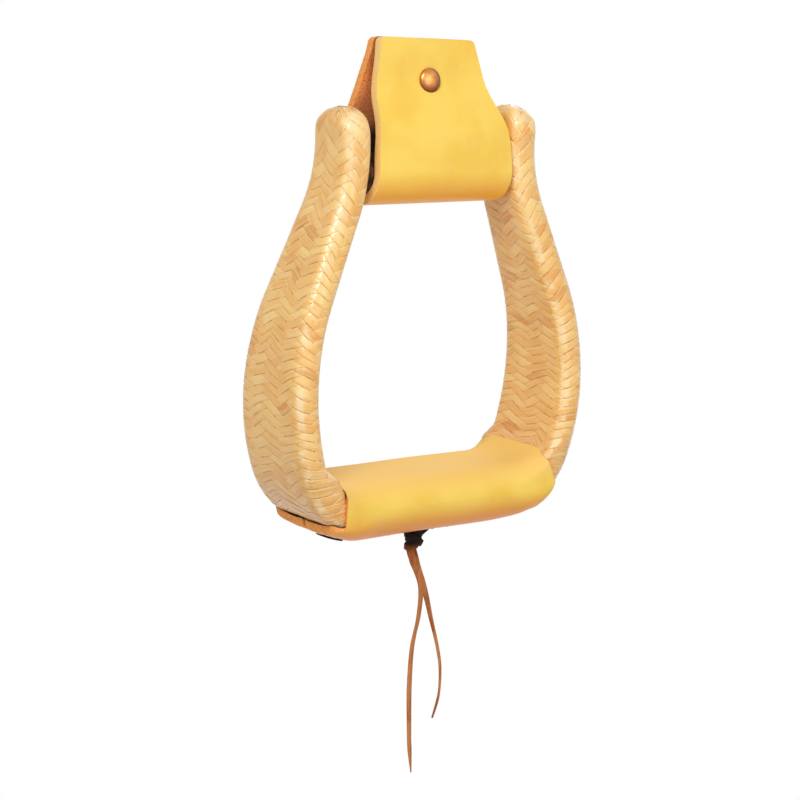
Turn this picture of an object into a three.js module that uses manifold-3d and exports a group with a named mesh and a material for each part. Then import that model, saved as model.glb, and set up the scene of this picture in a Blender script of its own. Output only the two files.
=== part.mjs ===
// A stirrup of plaited rawhide over a steam-bent wooden bell, with a leather tread cover laced
// underneath, and a riveted leather cover folded round the neck roller.
// Millimetres. The origin is the middle of the roller's axis, +X to the right, +Y to the back, +Z up.
import * as THREE from "three";
import { mergeVertices } from "three/addons/utils/BufferGeometryUtils.js";
import Module from "manifold-3d";

const wasm = await Module();
wasm.setup();

// Clearances
const SEAT_GAP = 0.3; // between pieces that lie on each other
const SIDE_PLAY = 0.6; // between a leg and what turns beside it

// The bell that the bent strip follows, seen from the front
const NECK_GAP = 80.6; // between the legs, over the rawhide, where they come closest
const NECK_HEIGHT = 12; // height of that place above the roller's axis
const LEG_HEIGHT = 30.5; // top of the rawhide above the roller's axis
const DROP = 138.4; // from the roller's axis down to the top of the tread
const TREAD_THICKNESS = 28.3; // over the leather
const BELLY_WIDTH = 169.4; // over the rawhide, where the legs stand widest
const BELLY_ABOVE_TREAD = 41.4;
const BELLY_RADIUS = 112; // the leg's long bend inwards
const FLARE_LENGTH = 39.9; // straight stretch between the bends of neck and belly
const CORNER_RADIUS = 38; // the bend from leg to tread

// The bent strip's own section, tapering from neck to tread
const STRIP_NECK_WIDTH = 25;
const STRIP_NECK_THICKNESS = 11.4;
const STRIP_TREAD_THICKNESS = 9.6;
const STRIP_CORNER = 4; // rounding of its long edges
const TAPER_FROM = 20; // height above the roller's axis where the taper starts
const TOP_ROUND_WIDTH = 11; // rounding of the leg's top, seen from the side
const TOP_ROUND_THICKNESS = 4.5; // and seen from the front

// Rawhide sleeve
const RAWHIDE = 1.8;

// Tread cover
const TREAD_LEATHER = 3.5;
const SKIVED_EDGE = 1.4; // thickness of its ends, pared down where they climb the legs
const TREAD_WIDTH = 49.4; // front to back, over the leather
const TREAD_END_FLARE = 1; // how much wider it is at its ends
const LEATHER_STEP = 0.4; // how far its ends stand out from the rawhide, front and back
const TREAD_TOP_ROUND = 9;
const TREAD_BOTTOM_ROUND = 7.5;
const TREAD_END_BOTTOM_ROUND = 5;
const MOUTH_CLIMB = 13.4; // how far its ends climb the inside of the legs
const MOUTH_PAST_BEND = 23; // how far it runs into the bends underneath
const CLIMB_RADIUS = 23; // bend of the leather from the tread up to the leg
const SEAM_SLIT = 2.4; // between its edges, underneath
const SEAM_BULGE = 2.4; // how far the leather hangs from the strip at the seam
const SEAM_BULGE_HALF = 14;

// Lacing
const LACE_WIDTH = 2.6;
const LACE_THICKNESS = 1.3;
const LACE_HOLE_RADIUS = 1.9;
const LACE_HOLE_FROM_SEAM = 5.5;
const LACE_PITCH = 9;
const LACE_FIRST_HOLE = 7;
const LACE_END_MARGIN = 6; // from the last hole to the end of the leather, at least
const KNOT_WIDTH = 9.4;
const KNOT_DEPTH = 8;
const KNOT_HEIGHT = 8.6;
const KNOT_X = 1.4;
const TAIL_DIAMETER = 3.4;

// Filler block and its nails
const PAD_PAST_BEND = 22; // how far the block runs into the bends
const NAIL_BEFORE_BEND = 6;
const NAIL_RADIUS = 1.1;
const NAIL_HEAD_RADIUS = 2.6;
const NAIL_HEAD_HEIGHT = 1;
const NAIL_SUNK = 0.6;
const NAIL_LENGTH = 15;
const NAIL_HOLE_CLEARANCE = 0.3;

// Bolt, washers and nut
const BOLT_RADIUS = 4;
const BOLT_CLEARANCE = 0.3;
const HEX_ACROSS_FLATS = 13;
const HEX_HEIGHT = 4.3;
const WASHER_RADIUS = 8;
const WASHER_THICKNESS = 1.5;
const WOOD_UNDER_WASHER = 3.4; // left between the inner face of the leg and the washer
const COUNTERBORE_CLEARANCE = 0.6;
const RAWHIDE_HOLE_CLEARANCE = 0.8;

// Roller and bolt cover
const COVER_LEATHER = 4.3;
const WRAP_RADIUS = 14.2; // outside of the leather where it goes round the roller
const COVER_LEAN = THREE.MathUtils.degToRad(7); // how far the cover leans to the back
const FLAP_TOP = 60.3; // measured along the flaps from the roller's axis
const FLAP_TOP_HALF_WIDTH = 27;
const FLAP_SHOULDER_HEIGHT = 18; // where the sloping sides start
const FLAP_SHOULDER_INSET = 1.1;
const FLAP_SIDE_FULL_HEIGHT = 3; // below it the cover has its full width
const FLAP_CORNER = 4;
const FLAP_CLOSE_FROM = 14; // heights between which the two flaps come together
const FLAP_CLOSE_TO = 44;
const FLAP_MEETING_GAP = 0.4;

// Rivet
const RIVET_HEIGHT = 42.2;
const RIVET_CAP_RADIUS = 5.6;
const RIVET_DOME = 2.2;
const RIVET_RIM = 0.5;
const RIVET_POST_RADIUS = 2.3;
const RIVET_SEAT_DEPTH = 0.1; // how far the cap presses into the closed flap

// Fineness of the curved surfaces
const ARC_STEPS = 3; // along each rounded edge of a section
const ROUND_SEGMENTS = 24;
const SMALL_HOLE_SEGMENTS = 8;

const rise = (t) => {
  const c = Math.min(1, Math.max(0, t));
  return c * c * (3 - 2 * c);
};
const mix = (a, b, t) => a + (b - a) * t;

// Turns a closed geometry into a manifold-3d solid, facing outwards.
function solidOf(geometry) {
  const bare = geometry.clone();
  bare.deleteAttribute("normal");
  bare.deleteAttribute("uv");
  const merged = mergeVertices(bare, 1e-4);
  const triVerts = new Uint32Array(merged.index.array);
  const vertProperties = new Float32Array(merged.attributes.position.array);
  const solid = new wasm.Manifold(new wasm.Mesh({ numProp: 3, vertProperties, triVerts }));
  if (solid.volume() >= 0) return solid;
  for (let i = 0; i < triVerts.length; i += 3) {
    [triVerts[i + 1], triVerts[i + 2]] = [triVerts[i + 2], triVerts[i + 1]];
  }
  return new wasm.Manifold(new wasm.Mesh({ numProp: 3, vertProperties, triVerts }));
}

function geometryOf(solid) {
  const mesh = solid.getMesh();
  const count = mesh.numProp;
  const position = new Float32Array(mesh.numVert * 3);
  for (let i = 0; i < mesh.numVert; i++) {
    position.set(mesh.vertProperties.subarray(i * count, i * count + 3), i * 3);
  }
  const geometry = new THREE.BufferGeometry();
  geometry.setAttribute("position", new THREE.BufferAttribute(position, 3));
  geometry.setIndex(new THREE.BufferAttribute(new Uint32Array(mesh.triVerts), 1));
  geometry.computeVertexNormals();
  return geometry;
}

// Joins rings of equal length, each a list of Vector3, into one closed body.
function loft(rings) {
  const size = rings[0].length;
  const position = rings.flat().flatMap((p) => [p.x, p.y, p.z]);
  const index = [];
  for (let r = 0; r + 1 < rings.length; r++) {
    for (let i = 0; i < size; i++) {
      const a = r * size + i;
      const b = r * size + ((i + 1) % size);
      index.push(a, b, a + size, b, b + size, a + size);
    }
  }
  for (const [ring, flip] of [[0, true], [rings.length - 1, false]]) {
    const middle = rings[ring].reduce((sum, p) => sum.add(p), new THREE.Vector3());
    middle.divideScalar(size);
    const centre = position.length / 3;
    position.push(middle.x, middle.y, middle.z);
    for (let i = 0; i < size; i++) {
      const a = ring * size + i;
      const b = ring * size + ((i + 1) % size);
      index.push(centre, flip ? b : a, flip ? a : b);
    }
  }
  const geometry = new THREE.BufferGeometry();
  geometry.setAttribute("position", new THREE.Float32BufferAttribute(position, 3));
  geometry.setIndex(index);
  return solidOf(geometry);
}

function cylinder(radius, length, segments = ROUND_SEGMENTS) {
  return new THREE.CylinderGeometry(radius, radius, length, segments);
}
const alongX = (geometry) => geometry.rotateZ(Math.PI / 2);
const alongZ = (geometry) => geometry.rotateX(Math.PI / 2);

// Extrudes an outline drawn in X and Z through the given depth in Y, centred on Y = 0.
function plate(shape, depth) {
  const geometry = new THREE.ExtrudeGeometry(shape, { depth, bevelEnabled: false, curveSegments: 6 });
  return geometry.translate(0, 0, -depth / 2).rotateX(Math.PI / 2);
}

// Heights that follow from the driving sizes
const SLEEVE = SEAT_GAP + RAWHIDE;
const treadTop = -DROP;
const mouthTop = treadTop + MOUTH_CLIMB;
const bellyHeight = treadTop + BELLY_ABOVE_TREAD;
const stripUnderside = treadTop - TREAD_THICKNESS + TREAD_LEATHER + SEAT_GAP;
const treadEndWidth = TREAD_WIDTH + TREAD_END_FLARE;
const stripTreadWidth = treadEndWidth - 2 * (SLEEVE + LEATHER_STEP);

// The strip's section at a height: half width, half thickness.
const taper = (z) => rise((TAPER_FROM - z) / (TAPER_FROM - mouthTop));
const stripHalfWidth = (z) => mix(STRIP_NECK_WIDTH, stripTreadWidth, taper(z)) / 2;
const stripHalfThickness = (z) => mix(STRIP_NECK_THICKNESS, STRIP_TREAD_THICKNESS, taper(z)) / 2;

// The bell's centreline: neck arc, straight flare, belly arc, corner arc, straight tread.
const neckHalf = NECK_GAP / 2 + SLEEVE + stripHalfThickness(NECK_HEIGHT);
const bellyHalf = BELLY_WIDTH / 2 - SLEEVE - stripHalfThickness(bellyHeight);
const treadHalfThickness = STRIP_TREAD_THICKNESS / 2;
const treadCentre = stripUnderside + treadHalfThickness;
// The neck's radius is what leaves a straight of the stated length between the two bends.
const spread = bellyHalf - neckHalf;
const bothRadii = (spread ** 2 + (NECK_HEIGHT - bellyHeight) ** 2 - FLARE_LENGTH ** 2) / (2 * spread);
const neckRadius = bothRadii - BELLY_RADIUS;
const neckCentre = new THREE.Vector2(neckHalf + neckRadius, NECK_HEIGHT);
const bellyCentre = new THREE.Vector2(bellyHalf - BELLY_RADIUS, bellyHeight);
const between = neckCentre.clone().sub(bellyCentre);
const flareAngle = between.angle() - Math.atan2(FLARE_LENGTH, bothRadii);
const cornerReach = BELLY_RADIUS - CORNER_RADIUS;
const cornerAngle = Math.asin((bellyHeight - CORNER_RADIUS - treadCentre) / cornerReach);
const cornerCentre = new THREE.Vector2(
  bellyCentre.x + cornerReach * Math.cos(cornerAngle),
  bellyCentre.y - cornerReach * Math.sin(cornerAngle),
);

// Right half of the bell from a leg top at the given height down to the middle of the tread.
function bellHalf(top) {
  const topAngle = Math.asin((top - NECK_HEIGHT) / neckRadius);
  const arc = (centre, radius, from, to, clockwise) =>
    new THREE.EllipseCurve(centre.x, centre.y, radius, radius, from, to, clockwise);
  const neck = arc(neckCentre, neckRadius, Math.PI - topAngle, Math.PI + flareAngle, false);
  const belly = arc(bellyCentre, BELLY_RADIUS, flareAngle, -cornerAngle, true);
  const corner = arc(cornerCentre, CORNER_RADIUS, -cornerAngle, -Math.PI / 2, true);
  const path = new THREE.CurvePath();
  path.add(neck);
  path.add(new THREE.LineCurve(neck.getPoint(1), belly.getPoint(0)));
  path.add(belly);
  path.add(corner);
  path.add(new THREE.LineCurve(corner.getPoint(1), new THREE.Vector2(0, treadCentre)));
  return path;
}

// Rounded rectangle in a section's own plane, as pairs [across, along Y].
function roundedRing(halfA, halfB, radius) {
  const r = Math.min(radius, halfA * 0.98, halfB * 0.98);
  const ring = [];
  for (const [sa, sb, from] of [[1, 1, 0], [-1, 1, 1], [-1, -1, 2], [1, -1, 3]]) {
    for (let i = 0; i <= ARC_STEPS; i++) {
      const angle = (from + i / ARC_STEPS) * (Math.PI / 2);
      ring.push([sa * (halfA - r) + r * Math.cos(angle), sb * (halfB - r) + r * Math.sin(angle)]);
    }
  }
  return ring;
}

const TOP_STATIONS = 4;
const CURVE_STATIONS = [4, 1, 5, 7, 1]; // along each stretch of the bell's centreline

// Rings of the strip grown by an amount all round, from the right leg's top to the middle of the tread.
function bellRings(grow) {
  const top = LEG_HEIGHT - SLEEVE + grow;
  const path = bellHalf(top);
  const ends = path.getCurveLengths();
  const length = ends.at(-1);
  const roundWidth = TOP_ROUND_WIDTH + grow;
  const roundThickness = TOP_ROUND_THICKNESS + grow;
  const distances = [];
  for (let i = 0; i < TOP_STATIONS; i++) {
    const angle = ((i + 0.6) / (TOP_STATIONS + 0.6)) * (Math.PI / 2);
    distances.push(roundWidth * (1 - Math.cos(angle)));
  }
  let from = roundWidth;
  distances.push(from);
  CURVE_STATIONS.forEach((count, stretch) => {
    for (let i = 1; i <= count; i++) distances.push(mix(from, ends[stretch], i / count));
    from = ends[stretch];
  });
  return distances.map((d) => {
    const u = Math.min(1, d / length);
    const at = path.getPointAt(u);
    const tangent = path.getTangentAt(u);
    const away = new THREE.Vector2(-tangent.y, tangent.x);
    const fall = (r) => (d < r ? r * (1 - Math.sqrt(1 - (1 - d / r) ** 2)) : 0);
    const halfA = stripHalfThickness(at.y) + grow - fall(roundThickness);
    const halfB = stripHalfWidth(at.y) + grow - fall(roundWidth);
    return roundedRing(halfA, halfB, STRIP_CORNER + grow).map(
      ([a, b]) => new THREE.Vector3(at.x + away.x * a, b, at.y + away.y * a),
    );
  });
}

const mirrored = (rings) => rings.map((ring) => ring.map((p) => new THREE.Vector3(-p.x, p.y, p.z)));

// The whole strip, grown by an amount: the right half down, then the left half up.
function bellSolid(grow) {
  const right = bellRings(grow);
  const left = mirrored(right.slice(0, -1)).reverse();
  return loft([...right, ...left]);
}

// The tread cover seen from the front: height of its underside and of its top at a distance from the middle
const coverReach = CORNER_RADIUS + treadHalfThickness + SEAT_GAP + TREAD_LEATHER;
function coverUnderside(x) {
  const past = Math.max(0, Math.abs(x) - cornerCentre.x);
  return cornerCentre.y - Math.sqrt(coverReach ** 2 - past ** 2);
}
const legInside = CORNER_RADIUS - treadHalfThickness - SEAT_GAP - SKIVED_EDGE;
const mouthTopHalf = cornerCentre.x + Math.sqrt(legInside ** 2 - (mouthTop - cornerCentre.y) ** 2);
const mouthBottomHalf = cornerCentre.x + MOUTH_PAST_BEND;
const flatHalf = mouthTopHalf - Math.sqrt(CLIMB_RADIUS ** 2 - (CLIMB_RADIUS - MOUTH_CLIMB) ** 2);
function coverTop(x) {
  const past = Math.max(0, Math.abs(x) - flatHalf);
  return treadTop + CLIMB_RADIUS - Math.sqrt(CLIMB_RADIUS ** 2 - past ** 2);
}
const seamBulge = (y) => {
  const t = Math.min(1, Math.abs(y) / SEAM_BULGE_HALF);
  return SEAM_BULGE * (1 - t * t) ** 2;
};

const SEAM_STEPS = 3;
const TOP_STEPS = 2;

// Half of the cover's section from the seam to the middle of the top, as [out, up] from the section's
// middle. inset moves the line inwards, from the leather's outside to its inside or to the wood.
function coverHalfSection(halfHeight, e, inset, slit, bulge) {
  const skive = rise((e - 0.75) / 0.25);
  const towardsEnd = rise((e - 0.6) / 0.4);
  const insetTop = inset === 0 ? 0 : inset - (TREAD_LEATHER - SKIVED_EDGE) * skive;
  const half = mix(TREAD_WIDTH, treadEndWidth, towardsEnd) / 2 - inset;
  const low = -halfHeight + inset;
  const high = halfHeight - insetTop;
  const lowRound = Math.max(1, mix(TREAD_BOTTOM_ROUND, TREAD_END_BOTTOM_ROUND, towardsEnd) - inset);
  const highRound = Math.max(1, TREAD_TOP_ROUND - inset);
  const points = [];
  const bulgeEnd = half - lowRound;
  for (let i = 0; i <= SEAM_STEPS; i++) {
    const y = mix(slit / 2, bulgeEnd, i / (SEAM_STEPS + 1));
    points.push([y, low - (bulge ? seamBulge(y) : 0)]);
  }
  for (let i = 0; i <= ARC_STEPS; i++) {
    const angle = -Math.PI / 2 + (i / ARC_STEPS) * (Math.PI / 2);
    points.push([bulgeEnd + lowRound * Math.cos(angle), low + lowRound + lowRound * Math.sin(angle)]);
  }
  for (let i = 0; i <= ARC_STEPS; i++) {
    const angle = (i / ARC_STEPS) * (Math.PI / 2);
    const out = half - highRound + highRound * Math.cos(angle);
    points.push([out, high - highRound + highRound * Math.sin(angle)]);
  }
  for (let i = 1; i < TOP_STEPS; i++) {
    points.push([(half - highRound) * (1 - i / TOP_STEPS), high]);
  }
  return points;
}

// Places a section across the tread at u, from -1 at the left mouth to 1 at the right one.
function coverSection(u, inset, slit, bulge) {
  const low = new THREE.Vector2(mouthBottomHalf * u, coverUnderside(mouthBottomHalf * u));
  const high = new THREE.Vector2(mouthTopHalf * u, coverTop(mouthTopHalf * u));
  const middle = low.clone().add(high).multiplyScalar(0.5);
  const up = high.clone().sub(low);
  const halfHeight = up.length() / 2;
  up.normalize();
  const half = coverHalfSection(halfHeight, Math.abs(u), inset, slit, bulge);
  const front = half.map(([y, h]) => [-y, h]);
  const back = half.map(([y, h]) => [y, h]).reverse();
  return [...front, [0, front.at(-1)[1]], ...back].map(
    ([y, h]) => new THREE.Vector3(middle.x + up.x * h, y, middle.y + up.y * h),
  );
}

// Stations along the cover, closer together where it climbs the legs
const coverHalfStations = [0.3, 0.6, 0.68, 0.74, 0.8, 0.85, 0.9, 0.95, 1];
const coverStations = [...coverHalfStations.map((u) => -u).reverse(), 0, ...coverHalfStations];

// The plane of the right mouth: two points on it, and the way out of the cover
const mouthLow = new THREE.Vector2(mouthBottomHalf, coverUnderside(mouthBottomHalf));
const mouthHigh = new THREE.Vector2(mouthTopHalf, coverTop(mouthTopHalf));
const mouthAlong = mouthHigh.clone().sub(mouthLow).normalize();
const mouthOut = new THREE.Vector2(mouthAlong.y, -mouthAlong.x);

// Space inside the tread cover, shrunk by the seat gap, run past both mouths, without the seam's bulge
function cavity() {
  const inset = TREAD_LEATHER + SEAT_GAP;
  const rings = coverStations.map((u) => coverSection(u, inset, SEAT_GAP, false));
  const past = (ring, side) => {
    const step = new THREE.Vector3(side * mouthOut.x, 0, mouthOut.y).multiplyScalar(TREAD_LEATHER);
    return ring.map((p) => p.clone().add(step));
  };
  return loft([past(rings[0], -1), ...rings, past(rings.at(-1), 1)]);
}
const coverCavity = cavity();

// Everything between the two mouths of the tread cover, moved outwards by a margin.
function betweenMouths(margin) {
  const out = mouthOut.clone().multiplyScalar(margin);
  const low = mouthLow.clone().add(out).addScaledVector(mouthAlong, -BELLY_RADIUS / 4);
  const high = mouthHigh.clone().add(out).addScaledVector(mouthAlong, CLIMB_RADIUS / 2);
  const shape = new THREE.Shape([
    new THREE.Vector2(-high.x, high.y),
    new THREE.Vector2(-low.x, low.y),
    low,
    high,
  ]);
  return solidOf(plate(shape, 2 * TREAD_WIDTH));
}

// Bolt layout on the right leg, from the inner face of the wood outwards
const legAtBolt = neckCentre.x - Math.sqrt(neckRadius ** 2 - NECK_HEIGHT ** 2);
const washerInner = legAtBolt - stripHalfThickness(0) + WOOD_UNDER_WASHER;
const hexInner = washerInner + WASHER_THICKNESS + SEAT_GAP;
const hexOuter = hexInner + HEX_HEIGHT;
const hexRadius = HEX_ACROSS_FLATS / Math.sqrt(3);

// A round bar along the roller's axis between two distances from the middle, in either order.
function tubeAlongX(radius, from, to) {
  const bar = alongX(cylinder(radius, Math.abs(to - from)));
  return solidOf(bar.translate((from + to) / 2, 0, 0));
}

// Nail layout: head sunk in the filler block, point in the strip
const padTop = treadTop - TREAD_LEATHER - SEAT_GAP;
const nailTop = padTop - NAIL_SUNK;
const nailHalf = cornerCentre.x - NAIL_BEFORE_BEND;
function nail(x, grow) {
  const shank = cylinder(NAIL_RADIUS + grow, NAIL_LENGTH + grow, 12);
  const head = cylinder(NAIL_HEAD_RADIUS + grow, NAIL_HEAD_HEIGHT + grow * 2, 16);
  const shankSolid = solidOf(alongZ(shank).translate(x, 0, nailTop - (NAIL_LENGTH + grow) / 2));
  return shankSolid.add(solidOf(alongZ(head).translate(x, 0, nailTop - NAIL_HEAD_HEIGHT / 2)));
}

function bentwoodFrame() {
  const shoulder = betweenMouths(SEAT_GAP).subtract(coverCavity);
  let wood = bellSolid(0).subtract(shoulder);
  const outwards = legAtBolt + STRIP_NECK_WIDTH;
  const inwards = legAtBolt - STRIP_NECK_WIDTH;
  const sunk = washerInner - SEAT_GAP;
  for (const side of [-1, 1]) {
    wood = wood
      .subtract(tubeAlongX(BOLT_RADIUS + BOLT_CLEARANCE, side * inwards, side * outwards))
      .subtract(tubeAlongX(WASHER_RADIUS + COUNTERBORE_CLEARANCE, side * sunk, side * outwards))
      .subtract(nail(side * nailHalf, NAIL_HOLE_CLEARANCE));
  }
  return wood;
}

function treadPad() {
  const stripTop = stripUnderside + STRIP_TREAD_THICKNESS;
  const height = 2 * (treadTop - stripTop);
  const length = 2 * (cornerCentre.x + PAD_PAST_BEND);
  const room = new THREE.BoxGeometry(length, TREAD_WIDTH, height);
  const block = coverCavity.intersect(solidOf(room.translate(0, 0, stripTop + height / 2)));
  let pad = block.subtract(bellSolid(SEAT_GAP));
  const reach = TREAD_LEATHER + SEAT_GAP; // how far the open hole above a nail's head is cut
  for (const side of [-1, 1]) {
    const sunk = alongZ(cylinder(NAIL_HEAD_RADIUS + NAIL_HOLE_CLEARANCE, reach, 16));
    pad = pad
      .subtract(nail(side * nailHalf, NAIL_HOLE_CLEARANCE))
      .subtract(solidOf(sunk.translate(side * nailHalf, 0, nailTop + reach / 2)));
  }
  return pad;
}

function rawhideCover(side) {
  const outer = bellRings(SLEEVE);
  const inner = bellRings(SEAT_GAP);
  const pick = (rings) => loft(side > 0 ? rings : mirrored(rings));
  const hole = BOLT_RADIUS + RAWHIDE_HOLE_CLEARANCE;
  return pick(outer)
    .subtract(pick(inner))
    .subtract(betweenMouths(SEAT_GAP))
    .subtract(tubeAlongX(hole, side * (legAtBolt - STRIP_NECK_WIDTH), side * legAtBolt));
}

const laceHoles = [];
for (let x = LACE_FIRST_HOLE; x <= mouthBottomHalf - LACE_END_MARGIN; x += LACE_PITCH) laceHoles.push(x);

// One sheet of leather: outside ring and inside ring joined at the slit into one closed ring per station.
function treadCover() {
  const rings = coverStations.map((u) => {
    const outside = coverSection(u, 0, SEAM_SLIT, true);
    const inside = coverSection(u, TREAD_LEATHER, SEAM_SLIT, true).reverse();
    return [...outside, ...inside];
  });
  const size = rings[0].length;
  const half = size / 2;
  const position = rings.flat().flatMap((p) => [p.x, p.y, p.z]);
  const index = [];
  for (let r = 0; r + 1 < rings.length; r++) {
    for (let i = 0; i < size; i++) {
      const a = r * size + i;
      const b = r * size + ((i + 1) % size);
      index.push(a, b, a + size, b, b + size, a + size);
    }
  }
  for (const [start, flip] of [[0, true], [(rings.length - 1) * size, false]]) {
    for (let i = 0; i + 1 < half; i++) {
      const [a, b] = [start + i, start + i + 1];
      const [c, d] = [start + size - 2 - i, start + size - 1 - i];
      index.push(...(flip ? [a, d, b, b, d, c] : [a, b, d, b, c, d]));
    }
  }
  const geometry = new THREE.BufferGeometry();
  geometry.setAttribute("position", new THREE.Float32BufferAttribute(position, 3));
  geometry.setIndex(index);
  let sheet = solidOf(geometry);
  for (const x of laceHoles) {
    for (const side of [-1, 1]) {
      for (const y of [-LACE_HOLE_FROM_SEAM, LACE_HOLE_FROM_SEAM]) {
        const punch = alongZ(cylinder(LACE_HOLE_RADIUS, 4 * TREAD_LEATHER, SMALL_HOLE_SEGMENTS));
        sheet = sheet.subtract(solidOf(punch.translate(side * x, y, coverUnderside(x) - SEAM_BULGE / 2)));
      }
    }
  }
  return sheet;
}

const LACE_SIDES = 6;

// A flat lace swept through points, its width kept as near as it can be to the X direction.
function flatLace(points) {
  const curve = new THREE.CatmullRomCurve3(points, false, "centripetal");
  const samples = points.length - 1;
  const rings = [];
  for (let i = 0; i <= samples; i++) {
    const at = curve.getPoint(i / samples);
    const tangent = curve.getTangent(i / samples);
    const across = new THREE.Vector3(1, 0, 0).addScaledVector(tangent, -tangent.x).normalize();
    const through = new THREE.Vector3().crossVectors(tangent, across);
    rings.push(
      Array.from({ length: LACE_SIDES }, (_, k) => {
        const angle = (k / LACE_SIDES) * Math.PI * 2;
        return at
          .clone()
          .addScaledVector(across, (LACE_WIDTH / 2) * Math.cos(angle))
          .addScaledVector(through, (LACE_THICKNESS / 2) * Math.sin(angle));
      }),
    );
  }
  return loft(rings);
}

const knotTop = coverUnderside(0) - SEAM_BULGE - SEAT_GAP;
const knotMiddle = new THREE.Vector3(KNOT_X, 0, knotTop - KNOT_HEIGHT / 2);

// Zigzag through the punched holes: slanting across the seam outside, straight across inside.
function seamLace(side) {
  const offSurface = SEAT_GAP + LACE_THICKNESS / 2;
  const outside = (x, y) => {
    return new THREE.Vector3(side * x, y, coverUnderside(x) - seamBulge(y) - offSurface);
  };
  const inside = (x, y) => {
    const z = coverUnderside(x) + TREAD_LEATHER - seamBulge(y) + offSurface;
    return new THREE.Vector3(side * x, y, z);
  };
  const near = -LACE_HOLE_FROM_SEAM;
  const far = LACE_HOLE_FROM_SEAM;
  const points = [];
  for (let i = laceHoles.length - 1; i >= 0; i--) {
    const x = laceHoles[i];
    points.push(inside(x, near + 1), inside(x, 0), inside(x, far - 1));
    points.push(outside(x, far).lerp(inside(x, far), 0.5));
    if (i > 0) {
      const next = laceHoles[i - 1];
      points.push(outside(x - 0.5, far - 1), outside((x + next) / 2, 0));
      points.push(outside(next + 0.5, near + 1));
      points.push(outside(next, near).lerp(inside(next, near), 0.5));
    }
  }
  const last = laceHoles[0];
  const beside = Math.abs(side * KNOT_WIDTH * 0.5 + KNOT_X) + LACE_WIDTH / 2 + SEAT_GAP;
  points.push(outside(last - 0.4, far - 1.2), outside(beside, LACE_HOLE_FROM_SEAM * 0.3));
  return flatLace(points);
}

function laceKnot() {
  const knot = new THREE.SphereGeometry(0.5, 18, 12).rotateX(Math.PI / 2);
  return knot.scale(KNOT_WIDTH, KNOT_DEPTH, KNOT_HEIGHT);
}

// The two hanging ends, as points chosen by hand from just under the knot
const LONG_TAIL = [
  [0.2, -2.2, -178.4],
  [1.6, -2.4, -181.5],
  [2.8, -2.4, -185],
  [4.3, -2.3, -190],
  [5.3, -2.2, -195],
  [5.7, -2.2, -200.5],
  [5.4, -2.2, -207],
  [4.5, -2.2, -214],
  [2.8, -2.2, -221],
  [1.6, -2.2, -228],
  [1.1, -2.2, -238],
  [1.1, -2.2, -250],
  [1.7, -2.2, -262],
  [2.4, -2.2, -274],
  [3.3, -2.2, -282],
  [4.3, -2.2, -290],
];
const SHORT_TAIL = [
  [2.8, 2.2, -178.4],
  [4.2, 2.4, -182],
  [5.6, 2.4, -186],
  [7.6, 2.3, -191],
  [9.6, 2.2, -196],
  [11.7, 2.2, -201.5],
  [14, 2.2, -208.5],
  [16.4, 2.2, -216.5],
  [19.2, 2.2, -225],
  [21.4, 2.2, -232.5],
  [23, 2.2, -240],
  [23.5, 2.2, -248],
  [23.1, 2.2, -255],
  [21.7, 2.2, -260.5],
  [19.6, 2.2, -266.5],
];
const TAIL_SIDES = 8;

function laceTail(points) {
  const section = new THREE.Shape(
    Array.from({ length: TAIL_SIDES }, (_, i) => {
      const angle = (i / TAIL_SIDES) * Math.PI * 2;
      return new THREE.Vector2(Math.cos(angle), Math.sin(angle)).multiplyScalar(TAIL_DIAMETER / 2);
    }),
  );
  const extrudePath = new THREE.CatmullRomCurve3(points.map((p) => new THREE.Vector3(...p)));
  const steps = Math.round(extrudePath.getLength() / (2 * TAIL_DIAMETER));
  return new THREE.ExtrudeGeometry(section, { steps, extrudePath });
}

// The roller, bored for the bolt
const rollerRadius = WRAP_RADIUS - COVER_LEATHER - SEAT_GAP;
const rollerHalf = NECK_GAP / 2 - SIDE_PLAY;
function neckRoller() {
  const ease = 1.2;
  const profile = [
    new THREE.Vector2(BOLT_RADIUS + BOLT_CLEARANCE, -rollerHalf),
    new THREE.Vector2(rollerRadius - ease, -rollerHalf),
    new THREE.Vector2(rollerRadius, -rollerHalf + ease),
    new THREE.Vector2(rollerRadius, rollerHalf - ease),
    new THREE.Vector2(rollerRadius - ease, rollerHalf),
    new THREE.Vector2(BOLT_RADIUS + BOLT_CLEARANCE, rollerHalf),
    new THREE.Vector2(BOLT_RADIUS + BOLT_CLEARANCE, -rollerHalf),
  ];
  return solidOf(alongX(new THREE.LatheGeometry(profile, ROUND_SEGMENTS)));
}

// Outside line of one flap, from the wrap's side to the top, as [depth, height].
const flapOutside = COVER_LEATHER + FLAP_MEETING_GAP / 2;
function flapLine(path, offset, side, upwards) {
  const wide = WRAP_RADIUS - offset;
  const closed = flapOutside - offset;
  const lift = (FLAP_CLOSE_TO - FLAP_CLOSE_FROM) * 0.42;
  const low = new THREE.Vector2(side * wide, FLAP_CLOSE_FROM);
  const high = new THREE.Vector2(side * closed, FLAP_CLOSE_TO);
  if (upwards) {
    path.lineTo(low.x, low.y);
    path.bezierCurveTo(low.x, low.y + lift, high.x, high.y - lift, high.x, high.y);
    path.lineTo(high.x, FLAP_TOP);
  } else {
    path.lineTo(high.x, FLAP_TOP);
    path.lineTo(high.x, high.y);
    path.bezierCurveTo(high.x, high.y - lift, low.x, low.y + lift, low.x, low.y);
  }
}

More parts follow.
